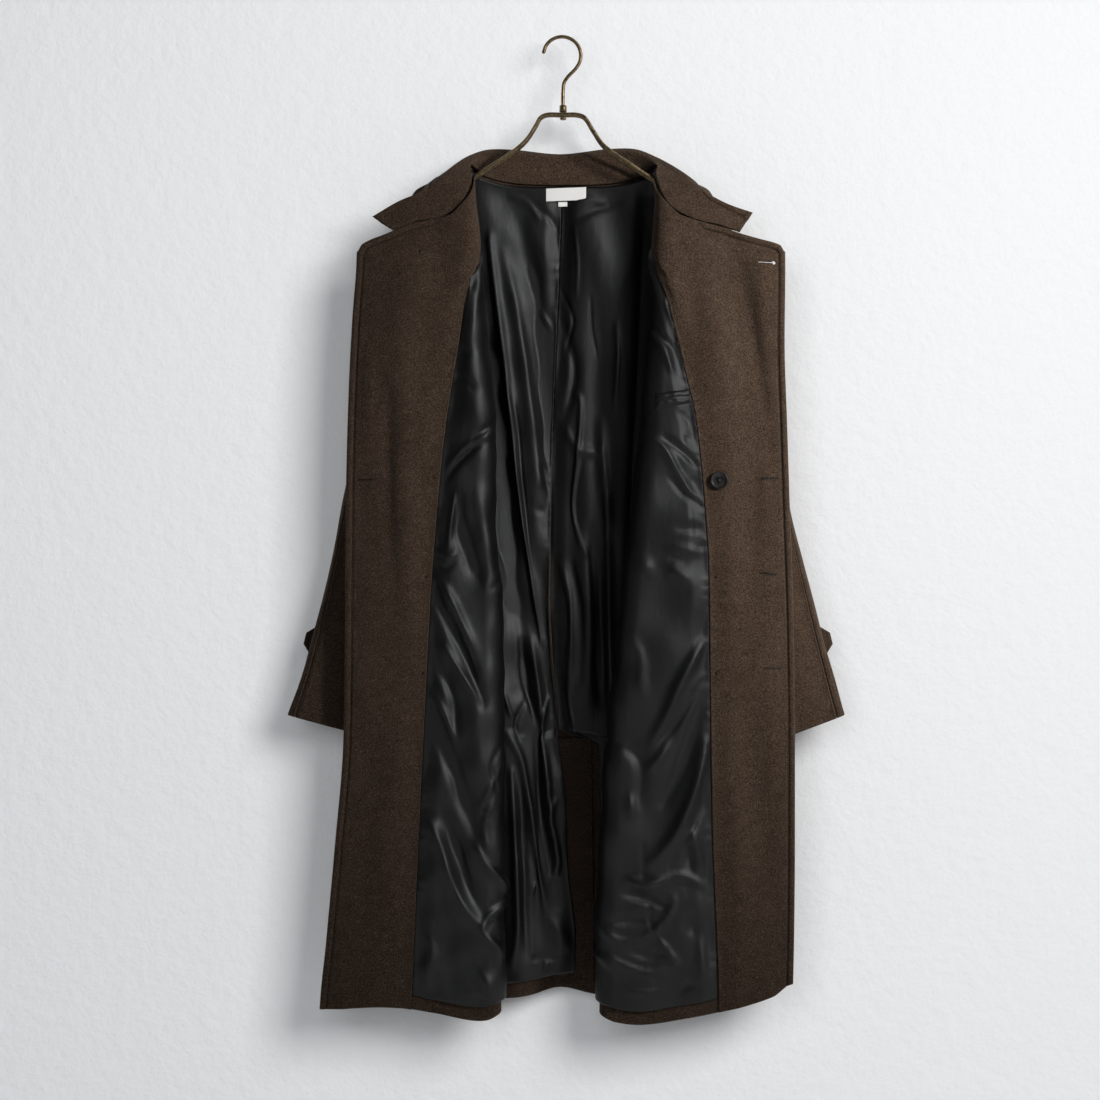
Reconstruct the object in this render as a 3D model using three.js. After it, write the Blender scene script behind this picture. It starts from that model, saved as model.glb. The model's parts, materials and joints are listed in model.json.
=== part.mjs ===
// Double-breasted chesterfield coat on a two-wire hanger, fronts folded back to show the lining.
// Millimetres. +X is the viewer's right, +Y goes away from the viewer, +Z is up.
// The origin is the underside of the hook's wire, where the hook rests on a rod.
import * as THREE from 'three';

// Cloth thicknesses and the clear gap between layers and at seams
const WOOL = 2.2;
const FACING = 2.0;
const LINING = 1.0;
const LAYER_GAP = 0.4;
const SEAM_GAP = 0.4;
const SHOULDER_GAP = 0.6;

// Stations of a front panel, from its front edge (0) round the folded crest to its side edge (1)
const BEND_START = 0.44;
const BEND_END = 0.62;
const CORNER_START = 0.86;
const CORNER_RADIUS = 24;

// Shoulder: the cloth rounds over the hanger within this drop below the shoulder seam
const SHOULDER_DROP = 40;

// Armhole, an upright oval in the body's side
const ARMHOLE = { topZ: -213, bottomZ: -450, topX: 197, centreY: 2, halfDepth: 25 };

// Height of the shoulder seam at a distance from the centre line
const shoulderRows = [
  { x: 100, z: -163 }, { x: 120, z: -166 }, { x: 150, z: -180 }, { x: 180, z: -196 }, { x: 200, z: -214 },
];

// Front panels: where the edge, crest and side lie at each height. x is the distance from the centre line.
const leftRows = [
  { z: -166, edgeX: 262, edgeY: -42, crestX: 116, foldY: -12, underY: -4, sideX: 197 },
  { z: -180, edgeX: 262, edgeY: -44, crestX: 117, foldY: -28, underY: -17, sideX: 197 },
  { z: -196, edgeX: 262, edgeY: -46, crestX: 117, foldY: -39, underY: -22, sideX: 197 },
  { z: -220, edgeX: 262, edgeY: -48, crestX: 117, foldY: -48, underY: -24, sideX: 197 },
  { z: -250, edgeX: 262, edgeY: -50, crestX: 115, foldY: -54, underY: -25, sideX: 195 },
  { z: -300, edgeX: 263, edgeY: -54, crestX: 111, foldY: -58, underY: -25, sideX: 192 },
  { z: -370, edgeX: 268, edgeY: -56, crestX: 107, foldY: -61, underY: -25, sideX: 188 },
  { z: -475, edgeX: 273, edgeY: -57, crestX: 94, foldY: -62, underY: -26, sideX: 184 },
  { z: -600, edgeX: 276, edgeY: -58, crestX: 92, foldY: -63, underY: -26, sideX: 183 },
  { z: -750, edgeX: 277, edgeY: -58, crestX: 82, foldY: -63, underY: -27, sideX: 182 },
  { z: -900, edgeX: 279, edgeY: -58, crestX: 80, foldY: -63, underY: -28, sideX: 182 },
  { z: -1050, edgeX: 291, edgeY: -57, crestX: 80, foldY: -63, underY: -29, sideX: 216 },
  { z: -1160, edgeX: 301, edgeY: -56, crestX: 80, foldY: -64, underY: -30, sideX: 242 },
  { z: -1265, edgeX: 310, edgeY: -56, crestX: 79, foldY: -64, underY: -31, sideX: 258 },
];
const rightRows = [
  { z: -166, edgeX: 285, edgeY: -42, crestX: 118, foldY: -12, underY: -4, sideX: 197 },
  { z: -180, edgeX: 285, edgeY: -44, crestX: 120, foldY: -28, underY: -17, sideX: 197 },
  { z: -196, edgeX: 285, edgeY: -46, crestX: 122, foldY: -39, underY: -22, sideX: 197 },
  { z: -220, edgeX: 285, edgeY: -48, crestX: 124, foldY: -48, underY: -24, sideX: 197 },
  { z: -250, edgeX: 285, edgeY: -50, crestX: 124, foldY: -54, underY: -25, sideX: 195 },
  { z: -300, edgeX: 285, edgeY: -54, crestX: 122, foldY: -58, underY: -25, sideX: 192 },
  { z: -400, edgeX: 284, edgeY: -56, crestX: 116, foldY: -61, underY: -25, sideX: 187 },
  { z: -500, edgeX: 287, edgeY: -57, crestX: 107, foldY: -62, underY: -26, sideX: 184 },
  { z: -600, edgeX: 290, edgeY: -58, crestX: 97, foldY: -63, underY: -26, sideX: 183 },
  { z: -750, edgeX: 295, edgeY: -58, crestX: 80, foldY: -63, underY: -27, sideX: 182 },
  { z: -900, edgeX: 297, edgeY: -58, crestX: 64, foldY: -63, underY: -28, sideX: 182 },
  { z: -1050, edgeX: 297, edgeY: -57, crestX: 54, foldY: -63, underY: -29, sideX: 216 },
  { z: -1160, edgeX: 296, edgeY: -56, crestX: 50, foldY: -64, underY: -30, sideX: 242 },
  { z: -1270, edgeX: 294, edgeY: -56, crestX: 49, foldY: -64, underY: -31, sideX: 258 },
];

// Top edge of a front: lapel point, notch, gorge seam and the way up to the neck. u runs as above.
const leftTopRows = [
  { u: 0, z: -284 }, { u: 0.022, z: -274 }, { u: 0.136, z: -259 }, { u: 0.176, z: -253.5 },
  { u: 0.249, z: -246 }, { u: 0.312, z: -243 }, { u: 0.396, z: -238 }, { u: 0.44, z: -225 },
  { u: 0.5, z: -196 }, { u: 0.56, z: -176 }, { u: 0.62, z: -166 },
];
const rightTopRows = [
  { u: 0, z: -284 }, { u: 0.02, z: -275 }, { u: 0.1, z: -267 }, { u: 0.162, z: -261 },
  { u: 0.242, z: -252 }, { u: 0.339, z: -244 }, { u: 0.4, z: -238 }, { u: 0.44, z: -225 },
  { u: 0.5, z: -198 }, { u: 0.56, z: -176 }, { u: 0.62, z: -166 },
];

// Bottom edge of a front
const leftHemRows = [
  { u: 0, z: -1251 }, { u: 0.17, z: -1247 }, { u: 0.3, z: -1255 }, { u: 0.42, z: -1265 },
  { u: 0.5, z: -1258 }, { u: 0.62, z: -1252 }, { u: 1, z: -1246 },
];
const rightHemRows = [
  { u: 0, z: -1219 }, { u: 0.05, z: -1234 }, { u: 0.14, z: -1249 }, { u: 0.26, z: -1262 },
  { u: 0.38, z: -1270 }, { u: 0.5, z: -1260 }, { u: 0.62, z: -1252 }, { u: 1, z: -1246 },
];

// Seam between facing and front lining: distance from the centre line at each height
const leftSeamRows = [
  { z: -295, x: 113 }, { z: -317, x: 119 }, { z: -404, x: 132 }, { z: -498, x: 147 }, { z: -574, x: 155.5 },
  { z: -735, x: 168 }, { z: -855, x: 174 }, { z: -1045, x: 183 }, { z: -1185, x: 189 }, { z: -1265, x: 192 },
];
const rightSeamRows = [
  { z: -301, x: 125.5 }, { z: -340, x: 133 }, { z: -410, x: 150 }, { z: -454, x: 160 }, { z: -487, x: 168 },
  { z: -594, x: 180 }, { z: -697, x: 186.5 }, { z: -835, x: 188 }, { z: -1013, x: 190.5 }, { z: -1270, x: 199 },
];
// Above this height the seam runs down the inside of the crest
const SEAM_AT_CREST = { left: -295, right: -301, station: 0.53, runOut: 24 };

// Back panels: the centre seam, the depth of the back and the neckline
const centreSeamRows = [
  { z: -188, x: 0 }, { z: -293, x: -3 }, { z: -480, x: -11 }, { z: -600, x: -15 }, { z: -730, x: -16 },
  { z: -800, x: -13 }, { z: -909, x: -5 }, { z: -1260, x: -2 },
];
const BACK_Y = 30;
const backTopRows = [
  { u: 0, z: -213, y: 0 }, { u: 0.12, z: -196, y: 0 }, { u: 0.24, z: -180, y: 0 }, { u: 0.38, z: -166.5, y: 0 },
  { u: 0.42, z: -169, y: 12 }, { u: 0.47, z: -176, y: 19 }, { u: 0.56, z: -182, y: 23 },
  { u: 0.74, z: -187, y: 27 }, { u: 1, z: -188, y: 28 },
];
const backHemRows = [
  { u: 0, z: -1246 }, { u: 0.4, z: -1250 }, { u: 0.65, z: -1252 }, { u: 0.85, z: -1246 }, { u: 1, z: -1238 },
];

// Soft upright folds of the back, pushed in towards the viewer. Their depth grows from top to hem.
const backFolds = {
  left: [
    { topX: -106, hemX: 4, topDepth: 3, hemDepth: 11, width: 22, fromZ: -175, toZ: -800 },
    { topX: -110, hemX: -52, topDepth: 2, hemDepth: 20, width: 28, fromZ: -300, toZ: -1260 },
    { topX: -135, hemX: -130, topDepth: 2, hemDepth: 26, width: 32, fromZ: -430, toZ: -1260 },
    { topX: -150, hemX: -205, topDepth: 0, hemDepth: 22, width: 28, fromZ: -700, toZ: -1260 },
  ],
  right: [
    { topX: 24, hemX: 34, topDepth: 1, hemDepth: 7, width: 14, fromZ: -200, toZ: -760 },
    { topX: 110, hemX: 84, topDepth: 2, hemDepth: 20, width: 30, fromZ: -300, toZ: -1260 },
    { topX: 140, hemX: 150, topDepth: 2, hemDepth: 26, width: 32, fromZ: -430, toZ: -1260 },
    { topX: 150, hemX: 212, topDepth: 0, hemDepth: 22, width: 28, fromZ: -700, toZ: -1260 },
  ],
};

// Centre back vent: the left back carries an underlap, and each lining stops at its own vent edge
const VENT = {
  topZ: -911, hemZ: -1234, underlapWidth: 44, underlapSewn: 8, underlapInset: 3.2, liningTopZ: -880, liningLift: 3.8,
};
const leftVentRows = [
  { z: -909, x: -5 }, { z: -982, x: 4 }, { z: -1089, x: 9 }, { z: -1170, x: 18 }, { z: -1240, x: 17 },
];
const rightVentRows = [
  { z: -880, x: 48 }, { z: -1000, x: 50 }, { z: -1240, x: 52 },
];

// Sleeves: the outer and inner corner of each ring, its middle depth and half its thickness
const leftSleeveRows = [
  { outX: 199.2, outZ: -214, inX: 186.2, inZ: -449, midY: 2, half: 25 },
  { outX: 211, outZ: -232, inX: 198, inZ: -460, midY: 0, half: 32 },
  { outX: 220, outZ: -272, inX: 201, inZ: -482, midY: -4, half: 35 },
  { outX: 233, outZ: -350, inX: 201, inZ: -525, midY: -6, half: 36 },
  { outX: 256, outZ: -465, inX: 202, inZ: -597, midY: -9, half: 35 },
  { outX: 281, outZ: -597, inX: 201, inZ: -685, midY: -14, half: 30 },
  { outX: 305, outZ: -713, inX: 197, inZ: -775, midY: -19, half: 23 },
  { outX: 330, outZ: -808, inX: 192, inZ: -858, midY: -22, half: 16 },
  { outX: 353.5, outZ: -878, inX: 188, inZ: -921, midY: -22, half: 13 },
];
const rightSleeveRows = [
  { outX: 199.2, outZ: -214, inX: 186.2, inZ: -449, midY: 2, half: 25 },
  { outX: 214, outZ: -232, inX: 199, inZ: -460, midY: 0, half: 32 },
  { outX: 226, outZ: -272, inX: 202, inZ: -482, midY: -4, half: 35 },
  { outX: 243, outZ: -350, inX: 203, inZ: -527, midY: -6, half: 36 },
  { outX: 267, outZ: -465, inX: 205, inZ: -602, midY: -9, half: 35 },
  { outX: 292, outZ: -600, inX: 206, inZ: -694, midY: -14, half: 30 },
  { outX: 319, outZ: -712, inX: 205, inZ: -786, midY: -19, half: 23 },
  { outX: 344, outZ: -808, inX: 205, inZ: -870, midY: -22, half: 16 },
  { outX: 364, outZ: -878, inX: 204, inZ: -936, midY: -22, half: 13 },
];
// A sleeve's fore seam, in degrees round the ring from the outer corner towards the viewer
const SLEEVE_FORE_SEAM = 28;

// Collar from the centre back to its point. Its neck edge follows the back neck, then the gorge.
// in and out are the two sides of the fold, leaf is the outer edge, crown is how high the fold rounds.
const leftCollarRows = [
  { on: 'back', u: 1, in: [0, 33, -150.5], out: [0, 43, -150.5], leaf: [0, 46, -212], crown: 5 },
  { on: 'back', u: 0.66, in: [62, 31, -145], out: [64, 41, -145], leaf: [68, 45, -210], crown: 5 },
  { on: 'back', u: 0.5, in: [96, 20, -147], out: [100, 30, -147], leaf: [115, 43, -204], crown: 5 },
  { on: 'front', u: 0.62, in: [117, 3, -156], out: [123, 12, -156], leaf: [150, 39, -184], crown: 4 },
  { on: 'front', u: 0.53, in: [131, -17, -170], out: [138, -9, -168], leaf: [160, 28, -173], crown: 4 },
  { on: 'front', u: 0.44, in: [151, -38, -189], out: [157, -31, -187], leaf: [176, -15, -187], crown: 2 },
  { on: 'front', u: 0.34, in: [174, -47, -211], out: [178, -46.5, -209], leaf: [183, -46, -207], crown: 0 },
  { on: 'front', u: 0.249, in: [203, -48, -226], out: [205, -48, -223], leaf: [209, -48, -218], crown: 0 },
  { on: 'front', u: 0.15, in: [232, -49, -246], out: [236, -49, -243], leaf: [243, -49, -238], crown: 0 },
];
const rightCollarRows = [
  { on: 'back', u: 1, in: [0, 33, -150.5], out: [0, 43, -150.5], leaf: [0, 46, -212], crown: 5 },
  { on: 'back', u: 0.66, in: [62, 31, -144.5], out: [64, 41, -144.5], leaf: [68, 45, -210], crown: 5 },
  { on: 'back', u: 0.5, in: [94, 20, -146.5], out: [98, 30, -146.5], leaf: [115, 43, -204], crown: 5 },
  { on: 'front', u: 0.62, in: [119, 3, -158], out: [125, 12, -158], leaf: [150, 39, -184], crown: 4 },
  { on: 'front', u: 0.53, in: [139, -19, -175], out: [146, -11, -171], leaf: [160, 28, -174], crown: 4 },
  { on: 'front', u: 0.44, in: [163, -38, -194], out: [169, -31, -192], leaf: [179, -17, -191], crown: 2 },
  { on: 'front', u: 0.35, in: [183, -47, -213], out: [185, -46.5, -211], leaf: [188, -46, -209], crown: 0 },
  { on: 'front', u: 0.26, in: [207, -48, -228], out: [210, -48, -225], leaf: [213, -48, -222], crown: 0 },
  { on: 'front', u: 0.175, in: [235, -49, -246], out: [239, -49, -241], leaf: [244, -49, -233], crown: 0 },
];

// Hanger
const WIRE_RADIUS = 2.4;
const HOOK = { radius: 24.4, centreZ: -22, tipAngle: 172, stemX: 1.4, stemEndZ: -103 };
const FERRULE = { inner: 2.8, outer: 4.8, topZ: -87, bottomZ: -95.7 };
const RIVET = { radius: 4.6, topZ: -103.3, bottomZ: -105.6 };
const leftWireRows = [
  { x: 190.5, y: 1.3, z: -223 }, { x: 189, y: 5, z: -221.5 }, { x: 181, y: 8.5, z: -217 },
  { x: 150, y: 10, z: -200.5 }, { x: 115, y: 7.8, z: -181.5 }, { x: 87, y: 9, z: -163.6 },
  { x: 62.4, y: 7.8, z: -147 }, { x: 46.8, y: 6.6, z: -133 }, { x: 34.6, y: 5.8, z: -115 },
  { x: 28, y: 5.4, z: -103.5 }, { x: 20, y: 5.2, z: -99.6 },
];
const rightWireRows = [
  { x: 0, y: 5.2, z: -99.4 }, { x: 20, y: 5.2, z: -99.6 }, { x: 29, y: 5.4, z: -103 }, { x: 40.3, y: 5.9, z: -120 },
  { x: 52.5, y: 7, z: -138 }, { x: 69, y: 8.2, z: -151.5 }, { x: 87.4, y: 9, z: -163.6 },
  { x: 115, y: 7.8, z: -181.5 }, { x: 150, y: 10, z: -200.5 }, { x: 181, y: 8.5, z: -217 },
  { x: 189, y: 5, z: -221.5 }, { x: 190.5, y: 1.3, z: -223 },
];

// Buttons
const BUTTON = { radius: 11.3, thick: 4.2, rim: 1.6, dish: 1.1, clear: 0.6 };
const CUFF_BUTTON_SCALE = 0.72;
const outerButtons = [
  { name: 'button_left_top', side: 'left', x: 180, z: -288 },
  { name: 'button_left_upper', side: 'left', x: 163, z: -574 },
  { name: 'button_left_middle', side: 'left', x: 170, z: -699 },
  { name: 'button_left_lower', side: 'left', x: 175, z: -821 },
  { name: 'button_right_upper', side: 'right', x: 196, z: -574 },
  { name: 'button_right_middle', side: 'right', x: 195, z: -699 },
  { name: 'button_right_lower', side: 'right', x: 196, z: -821 },
];
const INNER_BUTTON = { name: 'button_inner', side: 'right', x: 200, z: -576 };

// Neck label and size tab, sewn to the back lining below the collar
const LABEL = { x0: -21, x1: 31.5, topZ: -191, bottomZ: -208, thick: 1, columns: 8 };
const SIZE_TAB = { x0: -5, x1: 7, topZ: -208.6, bottomZ: -215, thick: 1, columns: 2 };

// Inner breast pocket: two welts on the right lining, a lens of opening between them
const WELTS = [
  { name: 'pocket_welt_upper', x0: 122, x1: 178, topZ: -459, bottomZ: -468.5, sag: -1.5 },
  { name: 'pocket_welt_lower', x0: 122, x1: 178, topZ: -472.5, bottomZ: -484, sag: 2.5 },
];
const WELT_THICK = 1.4;

// Cuff tab: a pointed strap on the back of each sleeve, its end past the outer edge
const CUFF_TAB = { width: 35, length: 78, thick: 3, past: 14, point: 10 };
const cuffTabs = {
  left: { edgeX: 321, edgeZ: -783, backY: 1.5, turn: 14 },
  right: { edgeX: 337, edgeZ: -783, backY: 1.5, turn: 14 },
};

const looks = {
  wool: { color: 0x45382e, roughness: 0.95, metalness: 0 },
  lining: { color: 0x101012, roughness: 0.35, metalness: 0 },
  brass: { color: 0x6e5c3e, roughness: 0.4, metalness: 1 },
  horn: { color: 0x1d1b1a, roughness: 0.3, metalness: 0 },
  woven: { color: 0xe8e8e6, roughness: 0.8, metalness: 0 },
};

const coat = new THREE.Group();
coat.name = 'chesterfield_coat_on_hanger';

function addPiece(name, geometry, look) {
  const mesh = new THREE.Mesh(geometry, new THREE.MeshStandardMaterial(looks[look]));
  mesh.name = name;
  coat.add(mesh);
  return mesh;
}

// Smooth reading of one column of a table, by the key column
function read(rows, key, column, at) {
  const rising = rows[1][key] > rows[0][key];
  const list = rising ? rows : [...rows].reverse();
  if (at <= list[0][key]) return list[0][column];
  if (at >= list[list.length - 1][key]) return list[list.length - 1][column];
  let i = 0;
  while (at > list[i + 1][key]) i += 1;
  const a = list[i];
  const b = list[i + 1];
  const before = list[Math.max(i - 1, 0)];
  const after = list[Math.min(i + 2, list.length - 1)];
  const span = b[key] - a[key];
  const t = (at - a[key]) / span;
  const slopeA = limitedSlope(before, a, b, key, column) * span;
  const slopeB = limitedSlope(a, b, after, key, column) * span;
  const t2 = t * t;
  const t3 = t2 * t;
  return (2 * t3 - 3 * t2 + 1) * a[column] + (t3 - 2 * t2 + t) * slopeA
    + (3 * t2 - 2 * t3) * b[column] + (t3 - t2) * slopeB;
}

// Slope at the middle row, held to zero where the column turns, so that no reading overshoots
function limitedSlope(before, at, after, key, column) {
  if (before === at || after === at) return 0;
  const s0 = (at[column] - before[column]) / (at[key] - before[key]);
  const s1 = (after[column] - at[column]) / (after[key] - at[key]);
  return s0 * s1 <= 0 ? 0 : (2 * s0 * s1) / (s0 + s1);
}

const sides = {
  left: { sign: -1, rows: leftRows, top: leftTopRows, hem: leftHemRows, seam: leftSeamRows,
    vent: leftVentRows, folds: backFolds.left },
  right: { sign: 1, rows: rightRows, top: rightTopRows, hem: rightHemRows, seam: rightSeamRows,
    vent: rightVentRows, folds: backFolds.right },
};

function lerp(a, b, t) {
  return a + (b - a) * t;
}

// How far round the armhole's oval a height is: 0 outside it, 1 at its middle
function armholeOpen(z) {
  const middle = (ARMHOLE.topZ + ARMHOLE.bottomZ) / 2;
  const half = (ARMHOLE.topZ - ARMHOLE.bottomZ) / 2;
  return Math.sqrt(Math.max(0, 1 - ((z - middle) / half) ** 2));
}

// The rounding of the cloth over the hanger: 0 at the shoulder seam, 1 below the drop
function shoulderEase(drop) {
  const t = Math.min(Math.max(drop / SHOULDER_DROP, 0), 1);
  return Math.sqrt(1 - (1 - t) ** 2);
}

function shoulderZ(x) {
  return read(shoulderRows, 'x', 'z', x);
}

function sideXAt(side, z) {
  return read(side.rows, 'z', 'sideX', z);
}

// Top of a front panel's column
function frontTop(side, u) {
  if (u <= BEND_END) return read(side.top, 'u', 'z', u);
  const x = lerp(120, ARMHOLE.topX, (u - BEND_END) / (1 - BEND_END));
  return shoulderZ(x);
}

// Point of a front panel's middle surface at a station and a height
function frontAt(side, u, z) {
  const edgeX = read(side.rows, 'z', 'edgeX', z);
  const edgeY = read(side.rows, 'z', 'edgeY', z);
  const crestX = read(side.rows, 'z', 'crestX', z);
  const foldY = read(side.rows, 'z', 'foldY', z);
  const ease = shoulderEase(frontTop(side, u) - z);
  const underY = read(side.rows, 'z', 'underY', z);
  const sideX = sideXAt(side, z);
  const radius = (underY - foldY) / 2;
  let x;
  let y;
  if (u <= BEND_START) {
    const t = u / BEND_START;
    x = lerp(edgeX, crestX + radius, t);
    y = lerp(edgeY, foldY, t * (2 - t));
  } else if (u <= BEND_END) {
    const turn = Math.PI * (u - BEND_START) / (BEND_END - BEND_START);
    x = crestX + radius * (1 - Math.sin(turn));
    y = foldY + radius * (1 - Math.cos(turn));
  } else if (u <= CORNER_START) {
    const t = (u - BEND_END) / (CORNER_START - BEND_END);
    x = lerp(crestX + radius, sideX - CORNER_RADIUS, t);
    y = lerp(underY, lerp(-SHOULDER_GAP, underY, ease), Math.min(1, t * 6));
  } else {
    const turn = (Math.PI / 2) * (u - CORNER_START) / (1 - CORNER_START);
    const open = armholeOpen(z);
    const sideY = z > ARMHOLE.bottomZ ? ARMHOLE.centreY - ARMHOLE.halfDepth * open : ARMHOLE.centreY;
    const nearY = lerp(-SHOULDER_GAP, underY, ease);
    const wrap = Math.max(nearY, z > ARMHOLE.bottomZ ? Math.min(sideY, -SHOULDER_GAP) : sideY - SEAM_GAP / 2);
    x = sideX - CORNER_RADIUS * (1 - lerp(Math.sin(turn), turn / (Math.PI / 2), open));
    y = lerp(nearY, wrap, 1 - Math.cos(turn));
  }
  return new THREE.Vector3(side.sign * x, y, z);
}

function frontPoint(side, u, v) {
  const top = frontTop(side, u);
  const bottom = read(side.hem, 'u', 'z', u);
  return frontAt(side, u, lerp(top, bottom, v));
}

// The station on the flap where the panel lies at a distance from the centre line
function stationAt(side, x, z) {
  const edgeX = read(side.rows, 'z', 'edgeX', z);
  const crestX = read(side.rows, 'z', 'crestX', z);
  const radius = (read(side.rows, 'z', 'underY', z) - read(side.rows, 'z', 'foldY', z)) / 2;
  const straight = BEND_START * (edgeX - x) / (edgeX - crestX - radius);
  if (straight <= BEND_START) return Math.max(straight, 0);
  const across = Math.min(Math.max((crestX + radius - x) / radius, 0), 1);
  return BEND_START + (BEND_END - BEND_START) * Math.asin(across) / Math.PI;
}

// The station of the seam between facing and lining
function seamStation(side, z) {
  const limit = side === sides.left ? SEAM_AT_CREST.left : SEAM_AT_CREST.right;
  const below = stationAt(side, read(side.seam, 'z', 'x', Math.min(z, limit)), Math.min(z, limit));
  const t = Math.min(Math.max((z - limit) / SEAM_AT_CREST.runOut, 0), 1);
  return lerp(below, SEAM_AT_CREST.station, t);
}

// Point of a back panel's middle surface: u is 0 at the side and 1 at the centre
function backPoint(side, u, v) {
  const top = read(backTopRows, 'u', 'z', u);
  const bottom = read(backHemRows, 'u', 'z', u);
  const z = lerp(top, bottom, v);
  const sideX = side.sign * sideXAt(side, z);
  const gap = SEAM_GAP / 2;
  const centreX = read(centreSeamRows, 'z', 'x', z) + side.sign * gap;
  const cornerX = sideX - side.sign * CORNER_RADIUS;
  const ease = shoulderEase(top - z);
  const topY = Math.max(read(backTopRows, 'u', 'y', u), SHOULDER_GAP);
  const corner = 0.12;
  if (u <= corner) {
    const turn = (Math.PI / 2) * (1 - u / corner);
    const open = armholeOpen(z);
    const sideY = z > ARMHOLE.bottomZ ? ARMHOLE.centreY + ARMHOLE.halfDepth * open : ARMHOLE.centreY;
    const flatY = lerp(topY, backDepth(side, cornerX, z), ease);
    const edgeY = Math.max(Math.min(sideY, flatY), z > ARMHOLE.bottomZ ? SHOULDER_GAP : gap);
    const x = sideX - side.sign * CORNER_RADIUS * (1 - lerp(Math.sin(turn), turn / (Math.PI / 2), open));
    return new THREE.Vector3(x, lerp(flatY, edgeY, 1 - Math.cos(turn)) + (z > ARMHOLE.bottomZ ? 0 : gap), z);
  }
  const t = (u - corner) / (1 - corner);
  const x = lerp(cornerX, centreX, t);
  const y = lerp(topY, backDepth(side, x, z), ease);
  return new THREE.Vector3(x, y, z);
}

// Depth of the back with its folds
function backDepth(side, x, z) {
  let y = BACK_Y;
  for (const fold of side.folds) {
    const along = Math.min(Math.max((fold.fromZ - z) / (fold.fromZ - fold.toZ), 0), 1.25);
    const fade = along > 1 ? (1.25 - along) / 0.25 : 1;
    const centre = lerp(fold.topX, fold.hemX, along);
    const depth = lerp(fold.topDepth, fold.hemDepth, along) * fade;
    y -= depth * Math.exp(-(((x - centre) / fold.width) ** 2));
  }
  return y;
}

// Triangle mesh from a list of points and a list of faces
function meshOf(points, faces) {
  const geometry = new THREE.BufferGeometry();
  geometry.setAttribute('position', new THREE.Float32BufferAttribute(points.flatMap((p) => [p.x, p.y, p.z]), 3));
  geometry.setIndex(faces.flat());
  geometry.computeVertexNormals();
  return geometry;
}

// A panel's grid of middle points and outward normals. Every layer is made from this one grid.
function makePanel(surface, columns, rows, flip) {
  const step = 0.002;
  const grid = [];
  for (let j = 0; j <= rows; j += 1) {
    for (let i = 0; i <= columns; i += 1) {
      const across = surface(Math.min(i + step, columns), j).sub(surface(Math.max(i - step, 0), j));
      const down = surface(i, Math.min(j + step, rows)).sub(surface(i, Math.max(j - step, 0)));
      const normal = across.cross(down).normalize().multiplyScalar(flip ? -1 : 1);
      grid.push({ point: surface(i, j), normal });
    }
  }
  return { grid, columns, rows, flip };
}

// Point of a panel's layer at a place on its grid and a distance along the normal
function onPanel(panel, i, j, distance) {
  const i0 = Math.min(Math.floor(i), panel.columns - 1);
  const j0 = Math.min(Math.floor(j), panel.rows - 1);
  const pick = (di, dj) => {
    const { point, normal } = panel.grid[(j0 + dj) * (panel.columns + 1) + i0 + di];
    return point.clone().addScaledVector(normal, distance);
  };
  const upper = pick(0, 0).lerp(pick(1, 0), i - i0);
  const lower = pick(0, 1).lerp(pick(1, 1), i - i0);
  return upper.lerp(lower, j - j0);
}

// Closed wall on a panel between two distances. place(i, j) gives the place on the panel's grid.
function layer(panel, columns, rows, near, far, place = (i, j) => [i, j], move = null, lift = null) {
  const points = [];
  for (const distance of [near, far]) {
    for (let j = 0; j <= rows; j += 1) {
      for (let i = 0; i <= columns; i += 1) {
        const [column, row] = place(i, j);
        const point = onPanel(panel, column, row, distance - (lift ? lift(column, row) : 0));
        if (move) point.add(move(i, j));
        points.push(point);
      }
    }
  }
  return closeWall(points, columns, rows, panel.flip);
}

function wall(surface, columns, rows, near, far, flip = false) {
  return layer(makePanel(surface, columns, rows, flip), columns, rows, near, far);
}

// Faces of a closed wall: two grids of points and the four edges between them
function closeWall(points, columns, rows, flip) {
  const layer = (columns + 1) * (rows + 1);
  const at = (side, i, j) => side * layer + j * (columns + 1) + i;
  const faces = [];
  const quad = (a, b, c, d) => {
    if (flip) faces.push([a, c, b], [a, d, c]);
    else faces.push([a, b, c], [a, c, d]);
  };
  for (let j = 0; j < rows; j += 1) {
    for (let i = 0; i < columns; i += 1) {
      quad(at(0, i, j), at(0, i, j + 1), at(0, i + 1, j + 1), at(0, i + 1, j));
      quad(at(1, i, j), at(1, i + 1, j), at(1, i + 1, j + 1), at(1, i, j + 1));
    }
  }
  for (let i = 0; i < columns; i += 1) {
    quad(at(0, i, 0), at(0, i + 1, 0), at(1, i + 1, 0), at(1, i, 0));
    quad(at(0, i + 1, rows), at(0, i, rows), at(1, i, rows), at(1, i + 1, rows));
  }
  for (let j = 0; j < rows; j += 1) {
    quad(at(0, 0, j + 1), at(0, 0, j), at(1, 0, j), at(1, 0, j + 1));
    quad(at(0, columns, j), at(0, columns, j + 1), at(1, columns, j + 1), at(1, columns, j));
  }
  return meshOf(points, faces);
}

// Reads a list of stations at a place between two of its entries
function between(stations, i) {
  const k = Math.min(Math.floor(i), stations.length - 2);
  return lerp(stations[k], stations[k + 1], i - k);
}

// The place of a value in a rising list of stations
function placeIn(stations, value) {
  let k = 0;
  while (k < stations.length - 2 && value > stations[k + 1]) k += 1;
  return k + (value - stations[k]) / (stations[k + 1] - stations[k]);
}

// Distances of the layers from the wool's middle: the lining side is negative
const WOOL_HALF = WOOL / 2;
const INNER_NEAR = WOOL_HALF + LAYER_GAP;

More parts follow.
